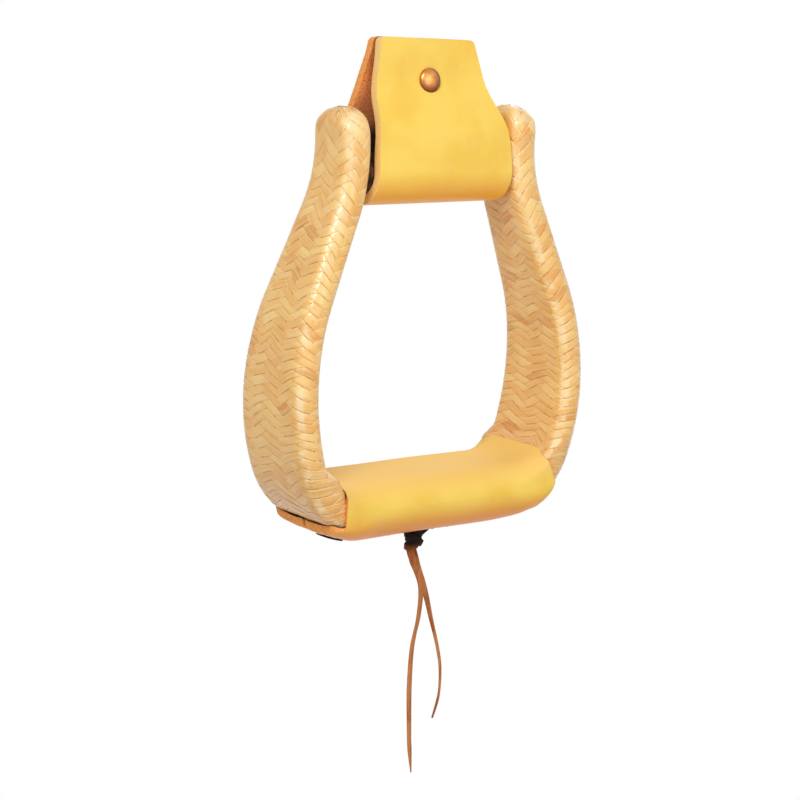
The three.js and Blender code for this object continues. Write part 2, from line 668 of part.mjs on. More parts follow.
// The strap seen from its side: down the back, round the roller, up the front, and back along the inside.
function coverSideShape() {
  const shape = new THREE.Shape();
  shape.moveTo(flapOutside, FLAP_TOP);
  flapLine(shape, 0, 1, false);
  shape.absarc(0, 0, WRAP_RADIUS, 0, -Math.PI, true);
  flapLine(shape, 0, -1, true);
  flapLine(shape, COVER_LEATHER, -1, false);
  shape.absarc(0, 0, WRAP_RADIUS - COVER_LEATHER, Math.PI, 2 * Math.PI, false);
  flapLine(shape, COVER_LEATHER, 1, true);
  shape.closePath();
  return shape;
}

const coverHalf = NECK_GAP / 2 - SIDE_PLAY;

// Both flaps' outline seen from the front, with rounded top corners.
function flapOutline() {
  const shoulder = coverHalf - FLAP_SHOULDER_INSET;
  const slope = new THREE.Vector2(FLAP_TOP_HALF_WIDTH - shoulder, FLAP_TOP - FLAP_SHOULDER_HEIGHT);
  slope.normalize();
  const turn = FLAP_SHOULDER_HEIGHT - (FLAP_SHOULDER_HEIGHT - FLAP_SIDE_FULL_HEIGHT) * 0.4;
  const cornerX = FLAP_TOP_HALF_WIDTH - slope.x * FLAP_CORNER;
  const cornerZ = FLAP_TOP - slope.y * FLAP_CORNER;
  const shape = new THREE.Shape();
  shape.moveTo(-coverHalf, -2 * WRAP_RADIUS);
  shape.lineTo(coverHalf, -2 * WRAP_RADIUS);
  shape.lineTo(coverHalf, FLAP_SIDE_FULL_HEIGHT);
  shape.quadraticCurveTo(coverHalf, turn, shoulder, FLAP_SHOULDER_HEIGHT);
  shape.lineTo(cornerX, cornerZ);
  shape.quadraticCurveTo(FLAP_TOP_HALF_WIDTH, FLAP_TOP, FLAP_TOP_HALF_WIDTH - FLAP_CORNER, FLAP_TOP);
  shape.lineTo(FLAP_CORNER - FLAP_TOP_HALF_WIDTH, FLAP_TOP);
  shape.quadraticCurveTo(-FLAP_TOP_HALF_WIDTH, FLAP_TOP, -cornerX, cornerZ);
  shape.lineTo(-shoulder, FLAP_SHOULDER_HEIGHT);
  shape.quadraticCurveTo(-coverHalf, turn, -coverHalf, FLAP_SIDE_FULL_HEIGHT);
  shape.closePath();
  return shape;
}

const rivetSeat = flapOutside - RIVET_SEAT_DEPTH;

function boltCover() {
  const options = { depth: 2 * coverHalf, bevelEnabled: false, curveSegments: 12 };
  const strap = new THREE.ExtrudeGeometry(coverSideShape(), options);
  // The side shape is drawn with depth as its first coordinate and height as its second.
  strap.translate(0, 0, -coverHalf).applyMatrix4(
    new THREE.Matrix4().makeBasis(
      new THREE.Vector3(0, 1, 0),
      new THREE.Vector3(0, 0, 1),
      new THREE.Vector3(1, 0, 0),
    ),
  );
  let cover = solidOf(strap).intersect(solidOf(plate(flapOutline(), 4 * WRAP_RADIUS)));
  const hole = cylinder(RIVET_POST_RADIUS + SEAT_GAP, 4 * WRAP_RADIUS, 20).translate(0, 0, RIVET_HEIGHT);
  cover = cover.subtract(solidOf(hole));
  for (const side of [-1, 1]) {
    const seat = cylinder(RIVET_CAP_RADIUS + SEAT_GAP, WRAP_RADIUS);
    seat.translate(0, side * (rivetSeat + WRAP_RADIUS / 2), RIVET_HEIGHT);
    cover = cover.subtract(solidOf(seat));
  }
  return cover;
}

// Profile of a domed cap from its rim to its crown, as [radius, height].
function domeProfile() {
  const steps = 4;
  return Array.from({ length: steps + 1 }, (_, i) => {
    const angle = (i / steps) * (Math.PI / 2);
    const height = RIVET_RIM + (RIVET_DOME - RIVET_RIM) * Math.sin(angle);
    return new THREE.Vector2(i === steps ? 0 : RIVET_CAP_RADIUS * Math.cos(angle), height);
  });
}

const capBase = rivetSeat + SEAT_GAP;
const postLength = 2 * capBase - SEAT_GAP;

// Front cap with its post, made along +Y and turned to face the front.
function rivetCap() {
  const profile = [
    new THREE.Vector2(0, -postLength),
    new THREE.Vector2(RIVET_POST_RADIUS, -postLength),
    new THREE.Vector2(RIVET_POST_RADIUS, 0),
    new THREE.Vector2(RIVET_CAP_RADIUS, 0),
    ...domeProfile(),
  ];
  const cap = new THREE.LatheGeometry(profile, ROUND_SEGMENTS).rotateX(Math.PI);
  return cap.translate(0, -capBase, RIVET_HEIGHT);
}

function rivetBack() {
  const profile = [new THREE.Vector2(0, 0), new THREE.Vector2(RIVET_CAP_RADIUS, 0), ...domeProfile()];
  return new THREE.LatheGeometry(profile, ROUND_SEGMENTS).translate(0, capBase, RIVET_HEIGHT);
}

function hexagon(from, to) {
  const bar = alongX(new THREE.CylinderGeometry(hexRadius, hexRadius, Math.abs(to - from), 6));
  return solidOf(bar.translate((from + to) / 2, 0, 0));
}

function neckBolt() {
  return tubeAlongX(BOLT_RADIUS, -hexOuter, hexOuter).add(hexagon(-hexOuter, -hexInner));
}

function washer(side) {
  const hole = tubeAlongX(BOLT_RADIUS + BOLT_CLEARANCE, 0, side * hexOuter);
  const disc = tubeAlongX(WASHER_RADIUS, side * washerInner, side * (washerInner + WASHER_THICKNESS));
  return disc.subtract(hole);
}

function boltNut() {
  const hole = tubeAlongX(BOLT_RADIUS + BOLT_CLEARANCE, hexInner - 1, hexOuter + 1);
  return hexagon(hexInner, hexOuter).subtract(hole);
}

const material = (color, roughness, metalness = 0) =>
  new THREE.MeshStandardMaterial({ color, roughness, metalness });
const wood = material("#c79a60", 0.6);
const rawhide = material("#ecc88f", 0.35);
const leather = material("#f6cd58", 0.5);
const copper = material("#dc965a", 0.3, 1);
const steel = material("#a9abad", 0.35, 1);
const lace = material("#6b3a22", 0.7);

function piece(name, shape, finish) {
  const geometry = shape.isBufferGeometry ? shape : geometryOf(shape);
  const mesh = new THREE.Mesh(geometry, finish);
  mesh.name = name;
  return mesh;
}

const frame = new THREE.Group();
frame.add(
  piece("bentwood_frame", bentwoodFrame(), wood),
  piece("tread_pad", treadPad(), wood),
  piece("pad_nail_left", nail(-nailHalf, 0), steel),
  piece("pad_nail_right", nail(nailHalf, 0), steel),
  piece("rawhide_cover_left", rawhideCover(-1), rawhide),
  piece("rawhide_cover_right", rawhideCover(1), rawhide),
  piece("tread_cover", treadCover(), leather),
  piece("seam_lace_left", seamLace(-1), lace),
  piece("seam_lace_right", seamLace(1), lace),
  piece("lace_tail_long", laceTail(LONG_TAIL), lace),
  piece("lace_tail_short", laceTail(SHORT_TAIL), lace),
  piece("neck_bolt", neckBolt(), steel),
  piece("head_washer", washer(-1), steel),
  piece("nut_washer", washer(1), steel),
  piece("bolt_nut", boltNut(), steel),
);
const knot = piece("lace_knot", laceKnot(), lace);
knot.position.copy(knotMiddle);
frame.add(knot);

const cover = new THREE.Group();
cover.rotation.x = -COVER_LEAN;
cover.add(
  piece("bolt_cover", boltCover(), leather),
  piece("rivet_cap", rivetCap(), copper),
  piece("rivet_back", rivetBack(), copper),
);

const stirrup = new THREE.Group();
stirrup.add(frame, cover, piece("neck_roller", neckRoller(), wood));

export default stirrup;
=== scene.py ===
# A stirrup of plaited rawhide over a bent wooden bell, hung by the roller between its legs.
# The sizes are in millimetres, and become metres in each piece's mesh.
import math

import bpy
import numpy as np
from mathutils import Matrix, Vector


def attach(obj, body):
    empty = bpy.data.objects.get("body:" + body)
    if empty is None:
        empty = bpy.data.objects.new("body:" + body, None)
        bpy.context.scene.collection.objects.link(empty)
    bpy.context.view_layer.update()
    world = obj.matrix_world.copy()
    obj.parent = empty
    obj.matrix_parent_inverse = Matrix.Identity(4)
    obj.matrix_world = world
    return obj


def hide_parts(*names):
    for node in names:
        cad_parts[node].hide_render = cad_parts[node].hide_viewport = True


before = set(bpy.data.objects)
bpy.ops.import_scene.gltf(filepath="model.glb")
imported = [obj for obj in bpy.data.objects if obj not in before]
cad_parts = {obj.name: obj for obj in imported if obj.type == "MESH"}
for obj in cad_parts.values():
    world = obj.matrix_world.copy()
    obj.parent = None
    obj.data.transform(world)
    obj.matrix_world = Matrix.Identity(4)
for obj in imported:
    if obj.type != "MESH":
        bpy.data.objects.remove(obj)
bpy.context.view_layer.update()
MM = 0.001

# Camera
# It stands where the photograph was taken from: to the left, a little above the roller,
# and slightly rolled. The place and lens come from a fit to the bell's outline.
camera_data = bpy.data.cameras.new("camera")
camera_data.sensor_width = 36
camera_data.lens = 101.26


def linked(name, data):
    """A new object of the scene."""
    made = bpy.data.objects.new(name, data)
    bpy.context.scene.collection.objects.link(made)
    return made


camera = linked("camera", camera_data)
camera.matrix_world = (
    Matrix.Translation(Vector((-643.9, -808.3, 91.8)) * MM)
    @ Matrix.Rotation(math.radians(-38.11), 4, "Z")
    @ Matrix.Rotation(math.radians(90 - 10.889), 4, "X")
    @ Matrix.Rotation(math.radians(2.309), 4, "Z")
)
bpy.context.scene.camera = camera
bpy.context.scene.view_settings.view_transform = "Standard"

# Hanging lace ends
# The two ends of the seam's lace, flat thongs of dark latigo leather cut with a knife. They hang
# from the knot by their own weight, twist a little, and the long one is cut to a point.
LACE_WIDTH = 3.4
LACE_THICKNESS = 1.2
LONG_END = [
    (-2.0, -2.2, -178.4), (-1.0, -2.4, -181.5), (0.4, -2.4, -185), (3.2, -2.3, -190),
    (5.1, -2.2, -195), (5.7, -2.2, -200.5), (5.4, -2.2, -207), (4.5, -2.2, -214),
    (2.8, -2.2, -221), (1.6, -2.2, -228), (1.1, -2.2, -238), (1.1, -2.2, -250),
    (1.7, -2.2, -262), (2.4, -2.2, -274), (3.3, -2.2, -282), (4.3, -2.2, -290),
]
SHORT_END = [
    (2.8, 2.2, -178.4), (4.2, 2.4, -182), (5.6, 2.4, -186), (7.3, 2.3, -191), (9.6, 2.2, -196),
    (11.7, 2.2, -201.5), (14, 2.2, -208.5), (16.4, 2.2, -216.5), (19.2, 2.2, -225),
    (21.4, 2.2, -232.5), (23, 2.2, -240), (23.5, 2.2, -248), (23.1, 2.2, -255),
    (21.7, 2.2, -260.5), (19.6, 2.2, -266.5),
]
# A thong's section with its corners cut off, in shares of half its width and half its thickness
THONG_SECTION = ((-1, -0.5), (-0.86, -1), (0.86, -1), (1, -0.5), (1, 0.5), (0.86, 1), (-0.86, 1), (-1, 0.5))
CREASE = 50  # degrees, above which an edge of a thong or a rivet is shaded sharp


def smooth_line(points, steps):
    """A smooth line through the points, with that many steps between each two."""
    p = np.array(points, float)
    p = np.vstack([2 * p[0] - p[1], p, 2 * p[-1] - p[-2]])
    t = np.linspace(0, 1, steps, endpoint=False)[:, None]
    line = [
        0.5 * (2 * b + (c - a) * t + (2 * a - 5 * b + 4 * c - d) * t**2 + (3 * b - a - 3 * c + d) * t**3)
        for a, b, c, d in zip(p, p[1:], p[2:], p[3:])
    ]
    return np.vstack([*line, p[-2]])


def circle(angles):
    return np.stack([np.cos(angles), np.sin(angles)], axis=-1)


def unit(vectors):
    return vectors / np.linalg.norm(vectors, axis=-1, keepdims=True)


def run_along(line):
    """How far along a line each of its points is."""
    return np.concatenate([[0], np.cumsum(np.linalg.norm(np.diff(line, axis=0), axis=1))])


def tube_faces(rings, sides, first=0):
    """The faces of a tube with closed ends, whose points lie ring by ring."""
    last = first + (rings - 1) * sides
    faces = [
        (a + i, a + (i + 1) % sides, a + sides + (i + 1) % sides, a + sides + i)
        for a in range(first, last, sides)
        for i in range(sides)
    ]
    return [*faces, tuple(range(first, first + sides))[::-1], tuple(range(last, last + sides))]


def mesh_object(name, points, faces):
    """A mesh of points in millimetres, in an object at the origin."""
    mesh = bpy.data.meshes.new(name)
    mesh.from_pydata((np.asarray(points) * MM).tolist(), [], faces)
    return linked(name, mesh)


def shade(mesh, crease):
    """Shades a mesh smooth, apart from edges sharper than the crease, in degrees."""
    mesh.shade_smooth()
    mesh.set_sharp_from_angle(angle=math.radians(crease))


def thong(name, line, facing, widths, thicknesses):
    """A flat strip along a line, with its width along facing."""
    tangent = unit(np.gradient(line, axis=0))
    across = unit(facing - tangent * (facing * tangent).sum(1)[:, None])
    through = np.cross(tangent, across)
    halves = np.broadcast_to(widths, len(line)) / 2
    depths = np.broadcast_to(thicknesses, len(line)) / 2
    rings = np.stack(
        [line + across * (a * halves)[:, None] + through * (b * depths)[:, None] for a, b in THONG_SECTION],
        axis=1,
    )
    count, size = rings.shape[:2]
    made = mesh_object(name, rings.reshape(-1, 3), tube_faces(count, size))
    along = np.repeat(run_along(line) * MM, size)
    made.data.attributes.new("along", "FLOAT", "POINT").data.foreach_set("value", along)
    shade(made.data, CREASE)
    return made


# Each end's route, the share of its width that is left at the tip, and the degrees by which its
# width is turned from the left-right line, by share of its length
lace_ends = []
for name, route, tip, bearings in (
    ("long", LONG_END, 0.3, ((0, -20), (0.12, -34), (0.3, 22), (0.5, 36), (0.72, 24), (1, 40))),
    ("short", SHORT_END, 0.62, ((0, -60), (0.15, -34), (0.3, 8), (0.55, 44), (1, 52))),
):
    line = smooth_line(route, 6)
    t = np.linspace(0, 1, len(line))
    turns = np.radians(np.interp(t, *zip(*bearings)))
    facing = np.column_stack([circle(turns), 0 * turns])
    widths = LACE_WIDTH * np.interp(t, (0, 0.9, 0.93, 1), (1, 1, 0.93, tip))
    thicknesses = LACE_THICKNESS * np.interp(t, (0, 0.9, 1), (1, 1, max(tip, 0.4)))
    end = thong(f"lace_end_{name}", line, facing, widths, thicknesses)
    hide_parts(f"lace_tail_{name}")
    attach(end, "frame")
    lace_ends.append(end)

# Floor, backdrop and lamps
# Not part of the stirrup: a pale floor under it, which the camera sees as white, and soft studio
# lamps at a plain level, the largest one high on the left as the highlights show.


def colour(code):
    """The linear colour of an sRGB hex code."""
    parts = [int(code[i : i + 2], 16) / 255 for i in (1, 3, 5)]
    return (*(c / 12.92 if c <= 0.04045 else ((c + 0.055) / 1.055) ** 2.4 for c in parts), 1.0)


def feed(target, inputs):
    """Gives each named input of a node a value, the colour of a hex code, or a link."""
    for name, value in inputs.items():
        if isinstance(value, (bpy.types.Node, Signal)):
            value = Signal(value).socket
        if isinstance(value, bpy.types.NodeSocket):
            target.id_data.links.new(value, target.inputs[name])
        elif isinstance(value, str) and value[0] == "#":
            target.inputs[name].default_value = colour(value)
        else:
            target.inputs[name].default_value = value


def node(tree, kind, inputs=None, **settings):
    """Adds a node with its settings and inputs. Where it is an input itself, its first output is meant."""
    made = tree.nodes.new(kind)
    for name, value in settings.items():
        setattr(made, name, value)
    feed(made, inputs or {})
    return made


def reckon(operation, *values):
    """A Signal worked out from the values, of which at least one is a Signal too."""
    tree = next(value.socket.id_data for value in values if isinstance(value, Signal))
    return Signal(node(tree, "ShaderNodeMath", dict(enumerate(values)), operation=operation))


class Signal:
    """A node's output, to write formulas with."""

    def __init__(self, source):
        source = source.socket if isinstance(source, Signal) else source
        self.socket = source.outputs[0] if isinstance(source, bpy.types.Node) else source

    def __add__(self, other):
        return reckon("ADD", self, other)

    def __sub__(self, other):
        return reckon("SUBTRACT", self, other)

    def __rsub__(self, other):
        return reckon("SUBTRACT", other, self)

    def __mul__(self, other):
        return reckon("MULTIPLY", self, other)

    def __truediv__(self, other):
        return reckon("DIVIDE", self, other)

    def __abs__(self):
        return reckon("ABSOLUTE", self)

    def spread(self, low, high, to_low=0.0, to_high=1.0, kind="SMOOTHSTEP"):
        """Maps it from one range to another, and no further."""
        inputs = {"Value": self, "From Min": low, "From Max": high, "To Min": to_low, "To Max": to_high}
        return Signal(node(self.socket.id_data, "ShaderNodeMapRange", inputs, interpolation_type=kind))

    def blend(self, first, second):
        """The first colour where it is 0, and the second where it is 1."""
        colours = {0: self, 6: first, 7: second}
        return Signal(node(self.socket.id_data, "ShaderNodeMix", colours, data_type="RGBA").outputs[2])


def seen_straight(tree):
    """1 where the camera sees the floor or backdrop, straight or in something glossy or clear, else 0."""
    rays = node(tree, "ShaderNodeLightPath").outputs
    camera_or_gloss = reckon("MAXIMUM", Signal(rays["Is Camera Ray"]), rays["Is Glossy Ray"])
    return reckon("MAXIMUM", camera_or_gloss, rays["Is Transmission Ray"])


FLOOR_DROP = 330  # from the roller's axis down to the floor
FLOOR_HALF = 3000
WORLD_LIGHT = 0.35  # of the backdrop's brightness, as light on the stirrup
floor = mesh_object(
    "floor",
    [(x * FLOOR_HALF, y * FLOOR_HALF, -FLOOR_DROP) for x, y in ((-1, -1), (1, -1), (1, 1), (-1, 1))],
    [(0, 1, 2, 3)],
)
pale_floor = bpy.data.materials.new("pale_painted_floor")
pale_floor.use_nodes = True
tree = pale_floor.node_tree
tree.nodes.clear()
paint = node(tree, "ShaderNodeBsdfDiffuse", {"Color": "#E6E4E0"})
white = node(tree, "ShaderNodeEmission", {"Color": "#FFFFFF", "Strength": 1.0})
mixed = node(tree, "ShaderNodeMixShader", {0: seen_straight(tree), 1: paint, 2: white})
node(tree, "ShaderNodeOutputMaterial", {"Surface": mixed})
floor.data.materials.append(pale_floor)

world = bpy.data.worlds.new("studio")
bpy.context.scene.world = world
world.use_nodes = True
tree = world.node_tree
tree.nodes.clear()
strength = seen_straight(tree).spread(0, 1, WORLD_LIGHT, 1, "LINEAR")
sky = node(tree, "ShaderNodeBackground", {"Color": "#FFFFFF", "Strength": strength})
node(tree, "ShaderNodeOutputWorld", {"Surface": sky})

# Each lamp's place, what it points at, its size and its power
for name, place, aim, size, power in (
    ("lamp_high_left", (-900, -700, 900), (0, 0, -40), 520, 11.5),
    ("lamp_front", (250, -1300, 350), (0, 0, -60), 700, 4.5),
    ("lamp_back_right", (800, 700, 500), (0, 0, -60), 700, 2.5),
):
    lamp_data = bpy.data.lights.new(name, "AREA")
    lamp_data.energy = power
    lamp_data.size = size * MM
    lamp = linked(name, lamp_data)
    place = Vector(place) * MM
    look = (Vector(aim) * MM - place).to_track_quat("-Z", "Y")
    lamp.matrix_world = Matrix.LocRotScale(place, look, None)

# Wooden bell and filler block
# A strip of ash, steamed and bent to a bell, tapering from a broad tread to narrow leg tops, with
# a block of the same ash on the tread. Only their grain and a clear oil finish would show.
NECK_GAP = 80.6
NECK_HEIGHT = 12
LEG_HEIGHT = 30.5
DROP = 138.4
TREAD_THICKNESS = 28.3
BELLY_WIDTH = 169.4
BELLY_ABOVE_TREAD = 41.4
BELLY_RADIUS = 112
FLARE_LENGTH = 39.9
CORNER_RADIUS = 38
STRIP_NECK_WIDTH = 25
STRIP_NECK_THICKNESS = 11.4
STRIP_TREAD_THICKNESS = 9.6
STRIP_CORNER = 4
ARC_STEPS = 200
TAPER_FROM = 20
TOP_ROUND_WIDTH = 11
TOP_ROUND_THICKNESS = 4.5
SLEEVE = 2.1  # from the wood to the outside of the rawhide
TREAD_LEATHER = 3.5
TREAD_WIDTH = 49.4
TREAD_END_FLARE = 1
MOUTH_CLIMB = 13.4
COVER_CLEARANCE = 0.3  # between the wood and the tread cover
COVER_PROUD = 0.4  # from the plait's front to the tread cover's, at the mouths

tread_top = -DROP
belly_height = tread_top + BELLY_ABOVE_TREAD
strip_underside = tread_top - TREAD_THICKNESS + TREAD_LEATHER + COVER_CLEARANCE
strip_tread_width = TREAD_WIDTH + TREAD_END_FLARE - 2 * (SLEEVE + COVER_PROUD)


def rise(t):
    t = np.clip(t, 0, 1)
    return t * t * (3 - 2 * t)


def taper(z):
    return rise((TAPER_FROM - z) / (TAPER_FROM - tread_top - MOUTH_CLIMB))


def strip_half_width(z):
    return (STRIP_NECK_WIDTH + (strip_tread_width - STRIP_NECK_WIDTH) * taper(z)) / 2


def strip_half_thickness(z):
    return (STRIP_NECK_THICKNESS + (STRIP_TREAD_THICKNESS - STRIP_NECK_THICKNESS) * taper(z)) / 2


neck_half = NECK_GAP / 2 + SLEEVE + float(strip_half_thickness(NECK_HEIGHT))
belly_half = BELLY_WIDTH / 2 - SLEEVE - float(strip_half_thickness(belly_height))
tread_centre = strip_underside + STRIP_TREAD_THICKNESS / 2
spread = belly_half - neck_half
both_radii = (spread**2 + (NECK_HEIGHT - belly_height) ** 2 - FLARE_LENGTH**2) / (2 * spread)
neck_radius = both_radii - BELLY_RADIUS
neck_centre = np.array([neck_half + neck_radius, NECK_HEIGHT])
belly_centre = np.array([belly_half - BELLY_RADIUS, belly_height])
between = neck_centre - belly_centre
flare_angle = math.atan2(between[1], between[0]) - math.atan2(FLARE_LENGTH, both_radii)
corner_reach = BELLY_RADIUS - CORNER_RADIUS
corner_angle = math.asin((belly_height - CORNER_RADIUS - tread_centre) / corner_reach)
corner_centre = belly_centre + corner_reach * circle(-corner_angle)

# The right leg's middle line from its top down: neck bend, straight flare, belly bend, corner bend.
top_angle = math.asin((LEG_HEIGHT - NECK_HEIGHT) / neck_radius)
leg_line = []
for centre, radius, start, stop in (
    (neck_centre, neck_radius, math.pi - top_angle, math.pi + flare_angle),
    (belly_centre, BELLY_RADIUS, flare_angle, -corner_angle),
    (corner_centre, CORNER_RADIUS, -corner_angle, -math.pi / 2),
):
    angles = np.linspace(start, stop, ARC_STEPS)
    leg_line.append(centre + radius * circle(angles))
leg_line = np.vstack(leg_line)
leg_run = run_along(leg_line)
corner_start = float(leg_run[2 * ARC_STEPS])

# Rawhide plait
# Ten strings of wet rawhide each way, about 5 mm wide, plaited over two and under two round the
# wood so that they lie in a herringbone, then dried hard and varnished. They narrow to the leg's
# domed top and run down into the mouth of the tread cover. The strings are made by Geometry Nodes.
STRINGS_EACH_WAY = 10
STRING_THICKNESS = 0.8
STRING_SIDES = 12
STRING_STEPS = 310
# Powers that square a round bar off across its width and through its thickness
SQUARED_ACROSS, SQUARED_THROUGH = 0.45, 0.35
STEP_SOFTNESS = 0.62  # of the wave in which a string goes over and under
MAP_MARGIN = 0.0005  # kept free at the top and bottom of the sleeve's map
SWAY_ASIDE, SWAY_ALONG = 0.2, 0.13  # of a string's width
# What each point of a string remembers for the material
STRING_FACTS = ("string", "along", "across", "lift", "float")
PLAIT_RELIEF = 0.17  # how far a string rises and sinks at the crossings
STRING_FILL = 0.497  # half a string's width as a share of the room for one
CORE_BELOW = 0.6  # the underlayer of the plait, below the strings' middle, darkened with painted shade
# Between rows of the plait, by distance from the top
ROW_PITCH = ((0, 8.6), (18, 8.0), (42, 5.4), (95, 4.5), (260, 4.3))
MOUTH_SINK = 1.7  # how far the plait narrows into the tread cover
MOUTH_FILL = 6.5  # how far it can swell to meet the cover's hand-cut end
UNDER_TUCK = 0.8
PLAIT_END_ANGLE = math.radians(-68)


def section_ring(half_a, half_b, radius, count):
    """Points evenly round a rounded rectangle, from the middle of its +a side, anticlockwise."""
    r = min(radius, half_a * 0.98, half_b * 0.98)
    fine = []
    for sa, sb, start in ((1, 1, 0), (-1, 1, 1), (-1, -1, 2), (1, -1, 3)):
        angles = (start + np.linspace(0, 1, 9)) * (math.pi / 2)
        fine.append((sa * (half_a - r), sb * (half_b - r)) + r * circle(angles))
    fine = np.vstack([[(half_a, 0)], *fine, [(half_a, 0)]])
    run = run_along(fine)
    at = np.linspace(0, run[-1], count)
    return np.stack([np.interp(at, run, fine[:, k]) for k in (0, 1)], axis=1)


MOUTH_PAST_BEND = 23
CLIMB_RADIUS = 23
SKIVED_EDGE = 1.4
cover_reach = CORNER_RADIUS + STRIP_TREAD_THICKNESS / 2 + COVER_CLEARANCE + TREAD_LEATHER
leg_inside = CORNER_RADIUS - STRIP_TREAD_THICKNESS / 2 - COVER_CLEARANCE - SKIVED_EDGE
mouth_top = tread_top + MOUTH_CLIMB
mouth_top_half = corner_centre[0] + math.sqrt(leg_inside**2 - (mouth_top - corner_centre[1]) ** 2)
mouth_bottom_half = corner_centre[0] + MOUTH_PAST_BEND
flat_half = mouth_top_half - math.sqrt(CLIMB_RADIUS**2 - (CLIMB_RADIUS - MOUTH_CLIMB) ** 2)


def cover_underside(x):
    past = np.maximum(0, np.abs(x) - corner_centre[0])
    return corner_centre[1] - np.sqrt(cover_reach**2 - past**2)


def cover_top(x):
    """The top of the tread cover: flat, then an arc up the leg, then straight on."""
    past = np.maximum(0, np.abs(x) - flat_half)
    on_arc = np.minimum(past, mouth_top_half - flat_half)
    fall = np.sqrt(CLIMB_RADIUS**2 - on_arc**2)
    return tread_top + CLIMB_RADIUS - fall + (past - on_arc) * on_arc / fall


# Where the tread cover is cut at its left and right ends. The leather is trimmed by hand, so each
# end curves in its own way: pairs of height, from underside (0) to top (1), and reach.
MOUTH_CUTS = {
    -1: ((0, 1.062), (0.12, 0.98), (0.29, 0.92), (0.59, 0.875), (0.85, 0.885), (0.95, 0.91), (1, 0.935)),
    1: (
        (0, 1.06), (0.05, 1.095), (0.18, 1.1), (0.3, 1.075), (0.43, 1.035), (0.63, 0.98), (0.89, 0.92),
        (1, 0.937),
    ),
}


def cover_slice(u):
    """The underside and top of the cover, as [x, z], at shares of the way from middle to mouth."""
    low = np.stack([mouth_bottom_half * u, cover_underside(mouth_bottom_half * u)], axis=-1)
    high = np.stack([mouth_top_half * u, cover_top(mouth_top_half * u)], axis=-1)
    return low, high


def mouth_depth(x, z, side):
    """How far a point of a leg is past the cut end of the tread cover, towards the tread."""
    h = np.linspace(0, 1, 40)
    low, high = cover_slice(np.interp(h, *zip(*MOUTH_CUTS[side])))
    cut = low + (high - low) * h[:, None]
    return np.interp(z, cut[:, 1], cut[:, 0]) - x


ROUND_COLUMNS = 81
GUIDE_ROWS = 250
depth_below = STRING_THICKNESS / 2 + PLAIT_RELIEF  # of the strings' middle under the outside
plait_end = corner_start + CORNER_RADIUS * (-PLAIT_END_ANGLE - corner_angle)
under_mouth_angle = math.acos(MOUTH_PAST_BEND / cover_reach)
under_mouth = corner_start + CORNER_RADIUS * (under_mouth_angle - corner_angle)
fine_run = np.linspace(0, plait_end, 2000)
row_at = np.concatenate([[0], np.cumsum(np.diff(fine_run) / np.interp(fine_run[1:], *zip(*ROW_PITCH)))])
rows = float(row_at[-1])
ring_run = np.interp(np.linspace(0, rows, GUIDE_ROWS), row_at, fine_run)


def sleeve_points(side):
    """The surface that the strings' middles follow on a leg, drawn as on the right."""
    grid = []
    grow = SLEEVE - depth_below
    for d in ring_run:
        at, behind, ahead = (
            np.array([np.interp(run, leg_run, leg_line[:, k]) for k in (0, 1)])
            for run in (d, max(0, d - 0.5), d + 0.5)
        )
        tangent = unit(ahead - behind)
        away = np.array([-tangent[1], tangent[0]])
        fall = [
            r * (1 - math.sqrt(1 - max(0.0, 1 - d / r) ** 2)) if d < r else 0
            for r in (TOP_ROUND_THICKNESS + SLEEVE, TOP_ROUND_WIDTH + SLEEVE)
        ]
        half_a = max(0.3, float(strip_half_thickness(at[1])) + grow - fall[0])
        half_b = max(0.5, float(strip_half_width(at[1])) + grow - fall[1])
        ring = section_ring(half_a, half_b, STRIP_CORNER + grow, ROUND_COLUMNS)
        # Underneath it is pressed in before the mouth, and towards the tread it fills the mouth.
        outer = np.clip(ring[:, 0] / half_a, 0, 1)
        inner = np.clip(0.6 - 1.2 * ring[:, 0] / half_a, 0, 1)
        tuck = UNDER_TUCK * outer * float(rise((d - under_mouth + 8) / 6))
        x = at[0] + away[0] * (ring[:, 0] - tuck)
        z = at[1] + away[1] * (ring[:, 0] - tuck)
        near = float(rise((d - corner_start + 10) / 10))
        _, mouth_rim = cover_slice(np.array(MOUTH_CUTS[side][-1][1]))
        gap = np.clip(-mouth_depth(x, z, side), 0, MOUTH_FILL)
        x = x - gap * inner * near * rise((mouth_rim[1] + 4 - z) / 8)
        sink = MOUTH_SINK * near * rise(mouth_depth(x, z, side) / 6)
        half_b_here = np.abs(ring[:, 1])
        y = np.sign(ring[:, 1]) * np.maximum(0, half_b_here - sink * rise((half_b_here - half_b + 6) / 6))
        grid.append(np.stack([x, y, z], axis=1))
    grid = np.array(grid)
    grid[..., 2] -= depth_below * np.clip(1 - ring_run / 8, 0, 1)[:, None]
    return grid


def guide_mesh(name, grid, out):
    """A grid of points for Geometry Nodes to lay things on, with its way out and a map across and down."""
    rows, columns = grid.shape[:2]
    faces = [
        (a, a + columns, a + columns + 1, a + 1)
        for r in range(rows - 1)
        for a in range(r * columns, (r + 1) * columns - 1)
    ]
    made = mesh_object(name, grid.reshape(-1, 3), faces)
    mesh = made.data
    mesh.attributes.new("outwards", "FLOAT_VECTOR", "POINT").data.foreach_set("vector", out.ravel())
    u, v = np.meshgrid(np.linspace(0, 1, columns), np.linspace(0, 1, rows))
    uv = np.stack([u.ravel(), v.ravel()], axis=1)
    corners = np.zeros(len(mesh.loops), int)
    mesh.loops.foreach_get("vertex_index", corners)
    mesh.uv_layers.new(name="across_and_down").data.foreach_set("uv", uv[corners].ravel())
    return made


